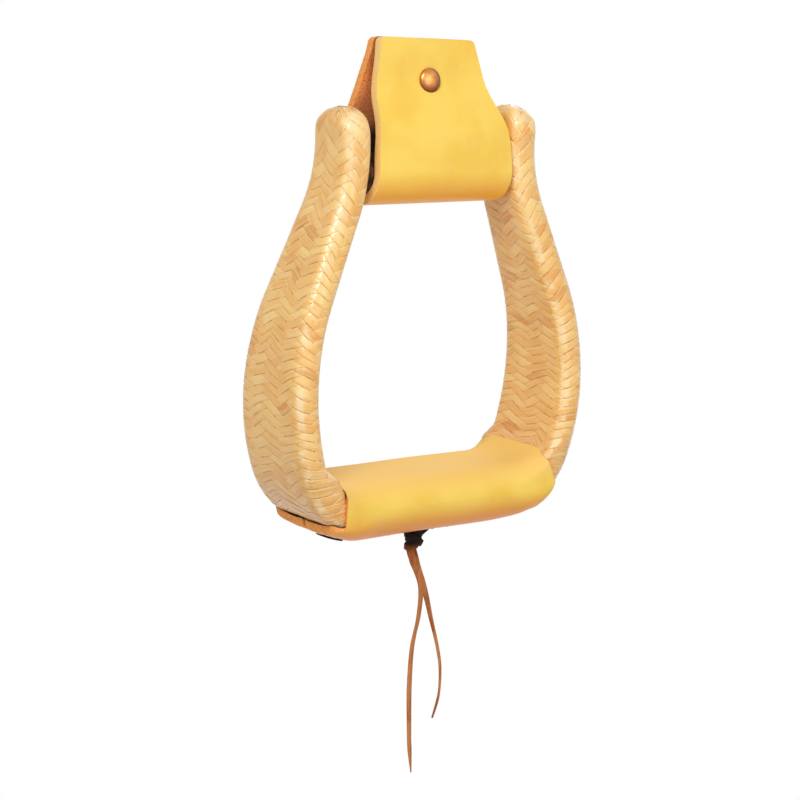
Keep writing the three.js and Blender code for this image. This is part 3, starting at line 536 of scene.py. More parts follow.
def sleeve(side):
    """The surface that the plait of a leg follows, mapped round the leg and down it by rows."""
    grid = sleeve_points(side)
    if side < 0:
        grid = grid[:, ::-1] * np.array([-1, 1, 1])
    ring = grid[:, :-1]
    by_column = np.roll(ring, -1, axis=1) - np.roll(ring, 1, axis=1)
    by_column = np.concatenate([by_column, by_column[:, :1]], axis=1)
    out = unit(np.cross(by_column, np.gradient(grid, axis=0)))
    inward = ((grid - grid.mean(axis=1, keepdims=True)) * out).sum() < 0
    return guide_mesh("plait_guide", grid, -out if inward else out)


def new_tree(name, inputs):
    """A Geometry Nodes tree that takes a guide and the named inputs, and these to write formulas with."""
    tree = bpy.data.node_groups.new(name, "GeometryNodeTree")
    tree.interface.new_socket("Guide", in_out="INPUT", socket_type="NodeSocketGeometry")
    for label, value in inputs.items():
        kind = "Int" if isinstance(value, int) else "Float" if isinstance(value, float) else "Material"
        tree.interface.new_socket(label, in_out="INPUT", socket_type=f"NodeSocket{kind}")
    tree.interface.new_socket("Piece", in_out="OUTPUT", socket_type="NodeSocketGeometry")
    entry = node(tree, "NodeGroupInput")
    return tree, {label: Signal(entry.outputs[label]) for label in ("Guide", *inputs)}


def laid_on(tree, guide, across, down, height):
    """The place that height outside a spot of a guide, and the way out there."""
    spot = node(tree, "ShaderNodeCombineXYZ", {"X": across, "Y": down})
    guide_map, outwards = (
        node(tree, "GeometryNodeInputNamedAttribute", {"Name": name}, data_type="FLOAT_VECTOR")
        for name in ("across_and_down", "outwards")
    )
    surface, outwards = (
        node(
            tree, "GeometryNodeSampleUVSurface",
            {"Mesh": guide, "Value": value, "UV Map": guide_map, "Sample UV": spot},
            data_type="FLOAT_VECTOR",
        )
        for value in (node(tree, "GeometryNodeInputPosition"), outwards)
    )
    raised = node(tree, "ShaderNodeVectorMath", {0: outwards, "Scale": height}, operation="SCALE")
    return node(tree, "ShaderNodeVectorMath", {0: surface, 1: raised}, operation="ADD"), outwards


def end_tree(tree, piece, material):
    """Shades the piece smooth, gives it its material and hands it out."""
    smooth = node(tree, "GeometryNodeSetShadeSmooth", {"Geometry": piece, "Shade Smooth": True})
    whole = node(tree, "GeometryNodeRealizeInstances", {"Geometry": smooth})
    dressed = node(tree, "GeometryNodeSetMaterial", {"Geometry": whole, "Material": material})
    node(tree, "NodeGroupOutput", {0: dressed})


def plait_tree(inputs):
    """Strings over a sleeve surface: each point of a string is placed by where it is on the lattice."""
    tree, given = new_tree("rawhide_plait", inputs)
    # One straight string, which remembers where each of its points is.
    bar = node(
        tree, "GeometryNodeMeshCylinder",
        {"Vertices": STRING_SIDES, "Side Segments": given["Steps"], "Radius": 1.0, "Depth": 1.0},
    )
    place = node(tree, "ShaderNodeSeparateXYZ", {0: node(tree, "GeometryNodeInputPosition")}).outputs
    kept = node(tree, "GeometryNodeCaptureAttribute", {"Geometry": bar})
    for name in ("across", "through", "along"):
        kept.capture_items.new("FLOAT", name)
    feed(kept, {"across": place["X"], "through": place["Y"], "along": Signal(place["Z"]) + 0.5})
    across, through, along = (Signal(kept.outputs[name]) for name in ("across", "through", "along"))
    both_ways = given["Strings each way"] * 2.0
    starts = node(tree, "GeometryNodePoints", {"Count": both_ways})
    copies = node(tree, "GeometryNodeInstanceOnPoints", {"Points": starts, "Instance": kept})
    numbered = node(tree, "GeometryNodeCaptureAttribute", {"Geometry": copies}, domain="INSTANCE")
    numbered.capture_items.new("INT", "string")
    feed(numbered, {"string": node(tree, "GeometryNodeInputIndex")})
    string = Signal(numbered.outputs["string"])
    strings = node(tree, "GeometryNodeRealizeInstances", {"Geometry": numbered})

    # Lattice lines a and b: a string of the first family keeps a, one of the second keeps b.
    second = reckon("GREATER_THAN", string + 0.5, given["Strings each way"])
    number = string - second * given["Strings each way"]
    # The bar's ring of points is squared off to a flat strip with a slight crown.
    across = reckon("SIGN", across) * reckon("POWER", abs(across), SQUARED_ACROSS)
    through = reckon("SIGN", through) * reckon("POWER", abs(through), SQUARED_THROUGH)
    kept_line = number + across * given["Fill"]
    way = 1.0 - second * 2.0
    crossed_line = number + way * (along * (given["Rows"] * 2.0))
    turned = (kept_line + crossed_line) / both_ways
    down = way * (crossed_line - kept_line) * 0.5
    # The lattice sways by a part of a string's width, as it does when plaited by hand, but not at
    # the very top.
    sway = (down / given["Rows"]).spread(0, 0.1, kind="LINEAR") * given["Unevenness"]
    slow = turned * (4 * math.pi) + down * 0.97 + given["Seed"]
    quick = turned * (-6 * math.pi) + down * 0.71 + given["Seed"]
    aside = (reckon("SINE", slow) + reckon("SINE", quick)) * sway
    along_leg = (reckon("COSINE", quick) + reckon("SINE", slow + 1.3)) * sway
    turned = turned + aside * SWAY_ASIDE / both_ways
    down = (down + along_leg * SWAY_ALONG) / given["Rows"]
    inside_map = {"Value": down, "Min": MAP_MARGIN, "Max": 1 - MAP_MARGIN}
    down = Signal(node(tree, "ShaderNodeClamp", inside_map))

    # Over two and under two: a square wave with softened steps along each string. The strings are
    # hammered flat over the leg's domed top.
    beat = number + crossed_line - 0.5
    wave = (reckon("COSINE", beat * (math.pi / 2)) * way).spread(-STEP_SOFTNESS, STEP_SOFTNESS, -1.0, 1.0)
    pressed = down.spread(0.02, 0.16, 0.3, 1.0, "LINEAR")
    height = wave * given["Relief"] * pressed + through * (given["Thickness"] * 0.5)
    place, _ = laid_on(tree, given["Guide"], reckon("FRACT", turned), down, height)
    woven = node(tree, "GeometryNodeSetPosition", {"Geometry": strings, "Position": place})
    # The underlayer, which painted shade makes dark between the strings
    out = node(
        tree, "GeometryNodeInputNamedAttribute", {"Name": "outwards"}, data_type="FLOAT_VECTOR"
    )
    sunk = {0: out, "Scale": given["Core below"] * -1.0}
    sunk = node(tree, "ShaderNodeVectorMath", sunk, operation="SCALE")
    core = node(tree, "GeometryNodeSetPosition", {"Geometry": given["Guide"], "Offset": sunk})
    core = node(tree, "GeometryNodeMergeByDistance", {"Geometry": core, "Distance": 0.01 * MM})

    joined = node(tree, "GeometryNodeJoinGeometry")
    float_number = reckon("FLOOR", (beat + 1.0) * 0.5)
    # The underlayer's lift of -1 brings the material's painted shade onto it.
    for part, facts in (
        (core, (-1.0, 0.0, 0.0, -1.0, 0.0)),
        (woven, (string + given["Seed"] * 37.0, along * given["Rows"], across, wave, float_number)),
    ):
        for name, value in zip(STRING_FACTS, facts):
            part = node(
                tree, "GeometryNodeStoreNamedAttribute", {"Geometry": part, "Name": name, "Value": value},
                data_type="FLOAT", domain="POINT",
            )
        feed(joined, {0: part})
    end_tree(tree, joined, given["Material"])
    return tree


def grown(name, guide, tree, inputs):
    """Runs a node tree on a guide object and keeps the result as a plain mesh of its own."""
    maker = guide.modifiers.new(tree.name, "NODES")
    maker.node_group = tree
    for item in tree.interface.items_tree:
        if item.in_out == "INPUT" and item.name in inputs:
            maker[item.identifier] = inputs[item.name]
    made = guide.evaluated_get(bpy.context.evaluated_depsgraph_get())
    mesh = bpy.data.meshes.new_from_object(made)
    guide.modifiers.remove(maker)
    bpy.data.objects.remove(guide)
    mesh.name = name
    return linked(name, mesh)


# Varnished rawhide: translucent dried skin in cream, with amber where it is thicker or has kept
# fat. Painted shade makes it deeper low on the legs and dark in the seams here and there, and
# the varnish gives a clear gloss.


def blotches(tree, size, detail=3.0, stretch=(1, 1, 1)):
    """Noise on the piece's own coordinates, with spots of about that size in millimetres."""
    where = node(tree, "ShaderNodeTexCoord").outputs["Object"]
    where = node(tree, "ShaderNodeMapping", {"Vector": where, "Scale": stretch})
    inputs = {"Vector": where, "Scale": 1 / (size * MM), "Detail": detail}
    return Signal(node(tree, "ShaderNodeTexNoise", inputs))


def depth_and_height(tree):
    """How far behind the roller's axis, and how high above it, in metres."""
    where = node(tree, "ShaderNodeSeparateXYZ", {0: node(tree, "ShaderNodeTexCoord").outputs["Object"]})
    return Signal(where.outputs[1]), Signal(where.outputs[2])


def finish_of(name, roughness, ior=1.5, metallic=0.0, coat=0.0, coat_roughness=0.2):
    """A new material with one shader, and its plain sockets set."""
    made = bpy.data.materials.new(name)
    made.use_nodes = True
    shader = made.node_tree.nodes["Principled BSDF"]
    shader.inputs["Roughness"].default_value = roughness
    shader.inputs["IOR"].default_value = ior
    shader.inputs["Metallic"].default_value = metallic
    shader.inputs["Coat Weight"].default_value = coat
    shader.inputs["Coat Roughness"].default_value = coat_roughness
    return made, made.node_tree, shader


def surface(shader, tone, height, strength, depth):
    """Gives a shader its colour and its relief, with that depth in millimetres, and returns the relief."""
    inputs = {"Height": height, "Strength": strength, "Distance": depth * MM}
    relief = node(shader.id_data, "ShaderNodeBump", inputs)
    feed(shader, {"Base Color": tone, "Normal": relief})
    return relief


varnished_rawhide, tree, shader = finish_of(
    "varnished_rawhide", 0.38, ior=1.45, coat=0.45, coat_roughness=0.16
)
string, along, across, lift, float_number = (
    Signal(node(tree, "ShaderNodeAttribute", attribute_name=name).outputs["Fac"]) for name in STRING_FACTS
)
# Each float, the length of a string between two crossings, has a tone of its own.
float_place = node(tree, "ShaderNodeCombineXYZ", {"X": string, "Y": float_number})
own_tone = Signal(node(tree, "ShaderNodeTexWhiteNoise", {"Vector": float_place}, noise_dimensions="2D"))
streak_place = node(tree, "ShaderNodeCombineXYZ", {"X": along * 0.6, "Y": across * 1.8, "Z": string * 3.1})
streaks = Signal(node(tree, "ShaderNodeTexNoise", {"Vector": streak_place, "Scale": 1.0, "Detail": 4.0}))
_, height = depth_and_height(tree)
skin = own_tone.spread(0, 0.9).blend("#FDD27F", "#F3B45A")
skin = own_tone.spread(0.89, 0.95, 0, 0.85).blend(skin, "#DB8A1E")
skin = blotches(tree, 14, 2).spread(0.45, 0.7, 0, 0.5).blend(skin, "#E8A242")
# Painted shade: the skin is deeper and more orange low on the legs, which take less light.
skin = height.spread(-0.095, -0.165, 0, 0.5).blend(skin, "#D0842A")
skin = streaks.spread(0.4, 0.7, 0, 0.35).blend(skin, "#FEE2AC")
# Painted highlight: along the leg's four long corners the skin is a paler cream, here more and there less.
facing = node(tree, "ShaderNodeSeparateXYZ", {0: node(tree, "ShaderNodeNewGeometry").outputs["Normal"]})
forward = abs(Signal(facing.outputs["Y"]))
corner = forward.spread(0.3, 0.62) * forward.spread(0.98, 0.84)
skin = (corner * blotches(tree, 8, 2).spread(0.38, 0.62, 0.15, 0.75)).blend(skin, "#FFE6B2")
# Painted shade darkens the seams: the strings' edges, the dips where they pass under their
# neighbours and the underlayer, more in some patches than in others.
edge_shade = abs(across).spread(0.86, 1.0, 0, 0.6)
under_crossing_shade = lift.spread(-1.0, -0.2, 0.5, 0)
seam_shade_patches = blotches(tree, 3.2, 3).spread(0.42, 0.62, 0.2, 1)
skin = (reckon("MAXIMUM", edge_shade, under_crossing_shade) * seam_shade_patches).blend(skin, "#A8642A")
surface(shader, skin, streaks, 0.2, 0.4)

plait_inputs = {
    "Strings each way": STRINGS_EACH_WAY,
    "Rows": rows,
    "Thickness": STRING_THICKNESS * MM,
    "Relief": PLAIT_RELIEF * MM,
    "Fill": STRING_FILL,
    "Core below": CORE_BELOW * MM,
    "Unevenness": 1.0,
    "Steps": STRING_STEPS,
    "Seed": 0,
    "Material": varnished_rawhide,
}
plait_nodes = plait_tree(plait_inputs)
for side, name, seed in ((-1, "left", 3), (1, "right", 8)):
    plait = grown(f"rawhide_plait_{name}", sleeve(side), plait_nodes, {**plait_inputs, "Seed": seed})
    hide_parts(f"rawhide_cover_{name}")
    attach(plait, "frame")

# Tread cover
# One piece of vegetable-tanned skirting leather, wet-moulded round the tread and laced up under it.
# Its ends climb the legs and stay outside the plait, cut square, so that their edge shows.
COVER_LEAN = math.radians(7)  # of the bolt cover, whose leather this is too
SEAM_SLIT = 2.4
SEAM_BULGE = 1.2
SEAM_BULGE_HALF = 14
TREAD_FRONT_ROUND = 12
TREAD_BACK_ROUND = 9
TREAD_END_TOP_ROUND = 10
TREAD_BOTTOM_ROUND = 16
TREAD_END_BOTTOM_ROUND = 8
SIDE_EDGE = 1.3  # the leather's thickness at its cut ends, front and back
LOBE_DROP = 1.2  # how far each cut end bows away from the plait underneath
END_LIFT = 0.4  # how far the whole cut end stands off underneath
SIDE_FLARE = 0.9
TOP_TUCK = 0.9  # how far the end of the top is pressed down to the plait
NEAR_END = 0.86  # of the way to a mouth, from where the cover is fitted to the leg
DENT = 0.15
PUCKER = 0.35
LACE_HOLE_RADIUS = 1.9
LACE_HOLE_FROM_SEAM = 5.5
LACE_PITCH = 9
LACE_FIRST_HOLE = 7
LACE_END_MARGIN = 6
PUNCH_HALF = 8
ACROSS_BOTTOM, ACROSS_ROUND, ACROSS_TOP = 14, 9, 12


def seam_bulge(y):
    return SEAM_BULGE * (1 - np.minimum(1, np.abs(y) / SEAM_BULGE_HALF) ** 2) ** 2


def half_section(half_height, e, inset, top_round):
    """Half the cover's section, from the seam to the middle of the top, as [out, up] pairs.

    It is for the share e of the way to a mouth, where the leather is pared thinner.
    """
    if inset:
        inset_top = inset - (TREAD_LEATHER - SKIVED_EDGE) * float(rise((e - 0.75) / 0.25))
        inset_side = inset - (TREAD_LEATHER - SIDE_EDGE) * float(rise((e - NEAR_END) / (1 - NEAR_END)))
    else:
        inset_top = inset_side = 0
    towards_end = float(rise((e - 0.6) / 0.35))
    half = (TREAD_WIDTH + TREAD_END_FLARE * towards_end) / 2 - inset_side
    low = -half_height + inset
    high = half_height - inset_top
    low_round = TREAD_BOTTOM_ROUND + (TREAD_END_BOTTOM_ROUND - TREAD_BOTTOM_ROUND) * towards_end
    low_round = max(1, low_round - inset)
    high_round = top_round + (TREAD_END_TOP_ROUND - top_round) * towards_end
    high_round = max(1, high_round - inset)
    y = np.linspace(SEAM_SLIT / 2, half - low_round, ACROSS_BOTTOM)
    turn = np.linspace(0, math.pi / 2, ACROSS_ROUND)
    top = np.linspace(half - high_round, 0, ACROSS_TOP)[1:]
    return np.vstack([
        np.stack([y, low - seam_bulge(y)], 1),
        ((half - low_round, low + low_round) + low_round * circle(turn - math.pi / 2))[1:],
        (half - high_round, high - high_round) + high_round * circle(turn),
        np.stack([top, np.full(len(top), high)], 1),
    ])


def cover_section(u):
    """The cover's outside and inside at u, from -1 at the left mouth to 1 at the right one."""
    low, high = cover_slice(np.array(u))
    half_height = float(np.linalg.norm(high - low)) / 2
    e = abs(u)
    near_end = float(rise((e - NEAR_END) / (1 - NEAR_END)))
    surfaces = []
    reach = None
    for inset in (0, TREAD_LEATHER):
        halves = []
        for side, top_round in ((-1, TREAD_FRONT_ROUND), (1, TREAD_BACK_ROUND)):
            out, height = half_section(half_height, e, inset, top_round).T
            # The cut ends stand off the plait underneath, most between the seam and the corner,
            # and are pressed down to it on top.
            under = rise((-height / half_height - 0.2) / 0.5)
            upper = rise((height / half_height - 0.5) / 0.5)
            lobe = np.sin(math.pi * np.clip((out - 1.2) / (TREAD_WIDTH / 2 - 3), 0, 1))
            height = height - near_end * (under * (END_LIFT + LOBE_DROP * lobe) + TOP_TUCK * upper)
            out = out + near_end * SIDE_FLARE * (out / (TREAD_WIDTH / 2)) ** 2
            halves.append(np.stack([side * out, height], 1))
        both = np.concatenate([halves[0], halves[1][::-1][1:]])
        share = (both[:, 1] / half_height + 1) / 2
        if reach is None:
            reach = np.interp(share, *zip(*MOUTH_CUTS[-1 if u < 0 else 1]))
        low, high = cover_slice(u * reach)
        place = low + (high - low) * share[:, None]
        surfaces.append(np.stack([place[:, 0], both[:, 0], place[:, 1]], axis=1))
    return surfaces


def leather_sheet(name, outside, inside):
    """A closed sheet between two grids of points: slot 0 outside, 1 on the cut edges, 2 inside."""
    count, across = outside.shape[:2]
    shift = count * across
    faces, slots = [], []
    for r in range(count - 1):
        for i in range(across - 1):
            a, b = r * across + i, r * across + i + 1
            c, d = a + across, b + across
            faces += [(a, b, d, c), (shift + a, shift + c, shift + d, shift + b)]
            slots += [0, 2]
        for i in (0, across - 1):
            a, c = r * across + i, (r + 1) * across + i
            edge = (a, c, shift + c, shift + a)
            faces.append(edge if i == 0 else edge[::-1])
            slots.append(1)
    for r in (0, count - 1):
        for i in range(across - 1):
            a = r * across + i
            edge = (a, shift + a, shift + a + 1, a + 1)
            faces.append(edge if r == 0 else edge[::-1])
            slots.append(1)
    made = mesh_object(name, np.concatenate([outside.reshape(-1, 3), inside.reshape(-1, 3)]), faces)
    made.data.polygons.foreach_set("material_index", slots)
    return made


def pare(made, width, segments, angle):
    """Rounds the edges of a cut sheet that are sharper than the angle, in degrees."""
    edges = made.modifiers.new("pared_edges", "BEVEL")
    edges.width = width * MM
    edges.segments = segments
    edges.limit_method = "ANGLE"
    edges.angle_limit = math.radians(angle)


def settle(made, crease):
    """Applies the piece's modifiers and shades it."""
    finished = bpy.data.meshes.new_from_object(made.evaluated_get(bpy.context.evaluated_depsgraph_get()))
    finished.name = made.name
    made.modifiers.clear()
    made.data = finished
    shade(finished, crease)


def outwards_of(grid):
    """Unit normals of a grid of points, away from its middle."""
    out = unit(np.cross(np.gradient(grid, axis=1), np.gradient(grid, axis=0)))
    return out if ((grid - grid.reshape(-1, 3).mean(0)) * out).sum() > 0 else -out


half_stations = np.concatenate(
    [np.linspace(a, b, count)[1:] for a, b, count in ((0, 0.6, 16), (0.6, 0.88, 18), (0.88, 1, 15))]
)
stations = np.concatenate([-half_stations[::-1], [0], half_stations])
cover_outside, cover_inside = np.array([cover_section(u) for u in stations]).swapaxes(0, 1)
# Wet-moulded leather is never quite even: shallow dents, and puckers between the lace holes.
cover_normal = outwards_of(cover_outside)
x, y, z = (cover_outside[..., k] for k in range(3))
dents = DENT * np.sin(x / 11.3 + 0.8 * np.sin(y / 9)) * np.sin(y / 8.1 + z / 10.2 + 1.1)
puckers = PUCKER * np.cos(2 * math.pi * (np.abs(x) - LACE_FIRST_HOLE) / LACE_PITCH)
puckers = puckers * np.exp(-((np.abs(y) / 7) ** 2)) * (z < tread_top - 12)
uneven = ((dents - puckers) * rise((1 - np.abs(stations)) / 0.12)[:, None])[..., None] * cover_normal
tread_cover = leather_sheet("tread_cover_leather", cover_outside + uneven, cover_inside + uneven)

# Holes for the lace, punched in pairs along the seam
hole_places = np.arange(LACE_FIRST_HOLE, mouth_bottom_half - LACE_END_MARGIN + 0.01, LACE_PITCH)
turn = np.linspace(0, 2 * math.pi, 20, endpoint=False)
round_hole = LACE_HOLE_RADIUS * np.column_stack([circle(turn), 0 * turn])
punch_points, punch_faces = [], []
for x in (*hole_places, *-hole_places):
    for y in (-LACE_HOLE_FROM_SEAM, LACE_HOLE_FROM_SEAM):
        z = float(cover_underside(x)) - SEAM_BULGE / 2
        punch_faces += tube_faces(2, len(turn), len(punch_points))
        for dz in (-PUNCH_HALF, PUNCH_HALF):
            punch_points += (round_hole + (x, y, z + dz)).tolist()
punch = mesh_object("punch", punch_points, punch_faces)

pare(tread_cover, 0.5, 2, 45)
holes = tread_cover.modifiers.new("lace_holes", "BOOLEAN")
holes.operation = "DIFFERENCE"
holes.solver = "EXACT"
holes.object = punch

# Vegetable-tanned skirting leather, oiled: the grain side is smooth and yellow with a soft mottle
# and fine pores, its cut edge is fibrous and pale, a deeper orange with painted shade where it is
# turned from the light, and its flesh side is brown and fuzzy.
PORE = 0.7
GRAIN_ROUGHNESS = 0.42
GRAIN_COAT = 0.12
grain_leather, tree, shader = finish_of(
    "skirting_leather_grain", GRAIN_ROUGHNESS, ior=1.4, coat=GRAIN_COAT, coat_roughness=0.35
)
_, height = depth_and_height(tree)
tone = blotches(tree, 22, 2).spread(0.35, 0.7).blend("#FCD65E", "#F8CA4E")
tone = blotches(tree, 5, 4).spread(0.5, 0.8, 0, 0.2).blend(tone, "#FEE294")
# Painted shade: the roll under the bolt cover and the tread's lower bend, which face down, are a deeper
# orange.
for top, bottom, underside_shade_tone in ((0.004, -0.0125, "#FFB440"), (-0.149, -0.165, "#EE8E2C")):
    painted_underside_shade = height.spread(top, bottom) * height.spread(bottom - 0.03, bottom - 0.02)
    tone = painted_underside_shade.blend(tone, underside_shade_tone)
# The top of the tread is rubbed matt by the boot, and painted sheen gives it a paler, less
# saturated tone where it faces the light from above.
boot_wear_and_sheen = height.spread(-0.149, -0.1385) * height.spread(-0.115, -0.125)
where = node(tree, "ShaderNodeTexCoord").outputs["Object"]
pores = node(tree, "ShaderNodeTexVoronoi", {"Vector": where, "Scale": 1 / (PORE * MM), "Randomness": 1.0})
fine_relief = node(tree, "ShaderNodeBump", {"Height": pores, "Strength": 0.12, "Distance": 0.15 * MM})
relief = surface(shader, boot_wear_and_sheen.blend(tone, "#FBCF70"), blotches(tree, 5, 2), 0.15, 0.6)
feed(relief, {"Normal": fine_relief})
feed(shader, {
    "Roughness": boot_wear_and_sheen.spread(0, 1, GRAIN_ROUGHNESS, 0.68),
    "Coat Weight": boot_wear_and_sheen.spread(0, 1, GRAIN_COAT, 0.02),
})

cut_edge, tree, shader = finish_of("skirting_leather_cut_edge", 0.7, ior=1.35)
fibres = blotches(tree, 0.9, 4)
shaded_edge_tone = fibres.spread(0.35, 0.7).blend("#FFB264", "#E88C42")
pale = fibres.spread(0.35, 0.7).blend("#FFDC90", "#FFCC7C")
# Painted shade: the back flap's and the tread cover's edges are deeper orange, the lit front flap's pale.
depth, height = depth_and_height(tree)
behind = height * -math.tan(COVER_LEAN) + depth
in_front = height.spread(-0.08, -0.05) * behind.spread(0.001, -0.001)
surface(shader, in_front.blend(shaded_edge_tone, pale), fibres, 0.4, 0.2)

# The flesh side is brown. Painted light makes it paler low in the hollow between the flaps, and
# painted shade blackens it where it wraps the roller and lies against the bell.
flesh_side, tree, shader = finish_of("skirting_leather_flesh_side", 0.9, ior=1.35)
_, height = depth_and_height(tree)
nap = blotches(tree, 0.8, 5)
tone = nap.spread(0.35, 0.7).blend("#DC8542", "#A8562A")
painted_light_tone = nap.spread(0.35, 0.7).blend("#FFA862", "#DC7C46")
tone = height.spread(0.046, 0.03).blend(tone, painted_light_tone)
tone = height.spread(0.026, 0.016).blend(tone, "#2A120A")
shader.inputs["Sheen Weight"].default_value = 0.15
surface(shader, tone, nap, 0.6, 0.3)

for finish in (grain_leather, cut_edge, flesh_side):
    tread_cover.data.materials.append(finish)
settle(tread_cover, 40)
bpy.data.objects.remove(punch)
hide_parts("tread_cover")
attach(tread_cover, "frame")

# Seam lacing
# A flat latigo lace that goes zigzag through the punched holes: slanting over the seam outside,
# straight across inside. Geometry Nodes lay it on the leather, from the mouths to the knot.
STITCH_WIDTH = 2.6
STITCH_THICKNESS = 1.0
STEPS_A_STITCH = 32.0
LAST_TURN_LEFT = 0.22  # of a turn of the lace, that the last pair of holes leaves to the knot
DIVE = 0.42  # of the sine wave in which the lace goes in and out, the part in a hole
LACE_CLEAR = 0.62  # of its thickness, from the leather to the lace's middle
BAND_HALF = 12  # half the width of the band of leather that the lace is laid on


def seam_band(side):
    """The underside along the seam, mapped across the seam and down it from the middle outwards."""
    x, y = np.meshgrid(
        np.linspace(0, mouth_bottom_half, 90), np.linspace(-BAND_HALF, BAND_HALF, 25), indexing="ij"
    )
    past = np.maximum(0, x - corner_centre[0])
    tilt = np.arcsin(past / cover_reach)
    drop = cover_reach + seam_bulge(y)
    x = side * (x - past + drop * np.sin(tilt))
    grid = np.stack([x, y, corner_centre[1] - drop * np.cos(tilt)], axis=-1)
    out = unit(np.cross(np.gradient(grid, axis=1), np.gradient(grid, axis=0)))
    return guide_mesh("seam_guide", grid, out * -np.sign(out[..., 2:]))


def lacing_tree(inputs):
    """A lace that runs in and out through pairs of holes at one pitch, on a band of leather."""
    tree, given = new_tree("seam_lacing", inputs)
    # One turn of the lace for each pair of holes; it leaves the last one for the knot.
    pairs = given["Pairs of holes"]
    count = pairs * STEPS_A_STITCH
    turn = Signal(node(tree, "GeometryNodeInputIndex")) / (count - 1.0) * (pairs - LAST_TURN_LEFT)
    whole = reckon("FLOOR", turn)
    part = turn - whole
    angle = part * (2 * math.pi)
    slant = reckon("MAXIMUM", (part - 0.5) * 2.0, 0.0)
    run = given["First hole"] + (pairs - 1.0 - (whole + slant)) * given["Pitch"]
    across = reckon("COSINE", angle) * -1.0 * given["Hole from seam"] / given["Band half width"]
    outside = reckon("SINE", angle).spread(-DIVE, DIVE, 1.0, 0.0)
    clear = given["Lace thickness"] * LACE_CLEAR
    deepest = (given["Leather"] + clear) * -1.0
    height = deepest + outside * (clear - deepest)
    place, outwards = laid_on(tree, given["Guide"], across * 0.5 + 0.5, run / given["Band length"], height)

    line = node(tree, "GeometryNodeMeshLine", {"Count": count})
    kept = node(tree, "GeometryNodeCaptureAttribute", {"Geometry": line})
    kept.capture_items.new("VECTOR", "outwards")
    feed(kept, {"outwards": outwards})
    laid = node(tree, "GeometryNodeSetPosition", {"Geometry": kept, "Position": place})
    curve = node(tree, "GeometryNodeMeshToCurve", {"Mesh": laid})
    facing = {"Curve": curve, "Normal": kept.outputs["outwards"]}
    curve = node(tree, "GeometryNodeSetCurveNormal", facing, mode="FREE")
    ring = node(tree, "GeometryNodeCurvePrimitiveCircle", {"Resolution": 8, "Radius": 0.5})
    sides = {"X": given["Lace thickness"], "Y": given["Lace width"], "Z": 1.0}
    flat = node(tree, "ShaderNodeCombineXYZ", sides)
    profile = node(tree, "GeometryNodeTransform", {"Geometry": ring, "Scale": flat})
    parts = {"Curve": curve, "Profile Curve": profile, "Fill Caps": True}
    lace = node(tree, "GeometryNodeCurveToMesh", parts)
    end_tree(tree, lace, given["Material"])
    return tree


# Latigo: leather full of grease and dye, dark brown, with paler scuffs where it has been pulled
latigo, tree, shader = finish_of("latigo_lace", 0.7, ior=1.25)
_, height = depth_and_height(tree)
scuffed = blotches(tree, 6, 4, (1, 1, 0.35)).spread(0.35, 0.65).blend("#A4572C", "#CC8650")
# Painted shade: the lace is near black high up under the tread, in the seam and the knot, and its own brown
# on the hanging ends.
tone = height.spread(-0.174, -0.182).blend("#1A0A05", scuffed)
surface(shader, tone, blotches(tree, 0.9, 4), 0.35, 0.2)
for end in lace_ends:
    end.data.materials.append(latigo)

lacing_inputs = {
    "Pairs of holes": len(hole_places),
    "First hole": LACE_FIRST_HOLE * MM,
    "Pitch": LACE_PITCH * MM,
    "Band length": mouth_bottom_half * MM,
    "Hole from seam": LACE_HOLE_FROM_SEAM * MM,
    "Band half width": BAND_HALF * MM,
    "Leather": TREAD_LEATHER * MM,
    "Lace width": STITCH_WIDTH * MM,
    "Lace thickness": STITCH_THICKNESS * MM,
    "Material": latigo,
}
lacing_nodes = lacing_tree(lacing_inputs)
for side, name in ((-1, "left"), (1, "right")):
    lacing = grown(f"seam_lacing_{name}", seam_band(side), lacing_nodes, lacing_inputs)
    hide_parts(f"seam_lace_{name}")
    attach(lacing, "frame")

# Knot of the lace
# The two ends of the lace are tied under the middle of the seam in one tight knot. Its turns are
# pressed together into a lump, and painted shade makes them nearly black.
KNOT_MIDDLE = (1.2, 0)
# Each turn: height, radius, sideways shift, slope from side to side, width and thickness of the lace
KNOT_TURNS = (
    (-170.4, 3.3, 0.2, 0.10, 4.4, 2.2),
    (-173.6, 2.9, 0.2, -0.12, 3.3, 2.2),
    (-176.4, 2.5, -0.7, 0.34, 2.8, 2.0),
)
KNOT_STRANDS = (
    ((-3.3, -3.4, -171.2), (0.6, -4.4, -173.2), (3.6, -3.6, -175.4)),
    ((2.2, -1.6, -171.4), (4.9, -2.2, -169.6), (7.4, -2.9, -167.6)),
    ((-0.8, -0.8, -176.0), (-1.8, -1.9, -178.2), (-1.3, -2.3, -181.0)),
    ((1.4, 0.6, -176.0), (2.8, 2.0, -178.2), (3.7, 2.3, -181.0)),
)
upright = np.array([0.0, 0.0, 1.0])
knot_parts = []
for height, radius, shift, slope, width, thickness in KNOT_TURNS:
    t = np.linspace(0, 2 * math.pi, 48)
    x = shift + radius * (1 + 0.06 * np.sin(3 * t + height)) * np.cos(t)
    line = np.stack([KNOT_MIDDLE[0] + x, KNOT_MIDDLE[1] + radius * np.sin(t), height + slope * x], axis=1)
    knot_parts.append(thong("knot_turn", line, upright, width, thickness))
for points in KNOT_STRANDS:
    line = smooth_line(points, 12)
    widths = np.linspace(3.6, 3.4, len(line))
    thicknesses = np.linspace(2.4, 1.7, len(line))
    knot_parts.append(thong("knot_strand", line, upright + (0.6, 0, 0), widths, thicknesses))
line = np.array([(*KNOT_MIDDLE, z) for z in np.linspace(-168.6, -178.2, 12)])
narrowing = np.linspace(6, 4, 12)
knot_parts.append(thong("knot_core", line, np.array([1.0, 0.0, 0.0]), narrowing, narrowing))
knot = knot_parts[0]
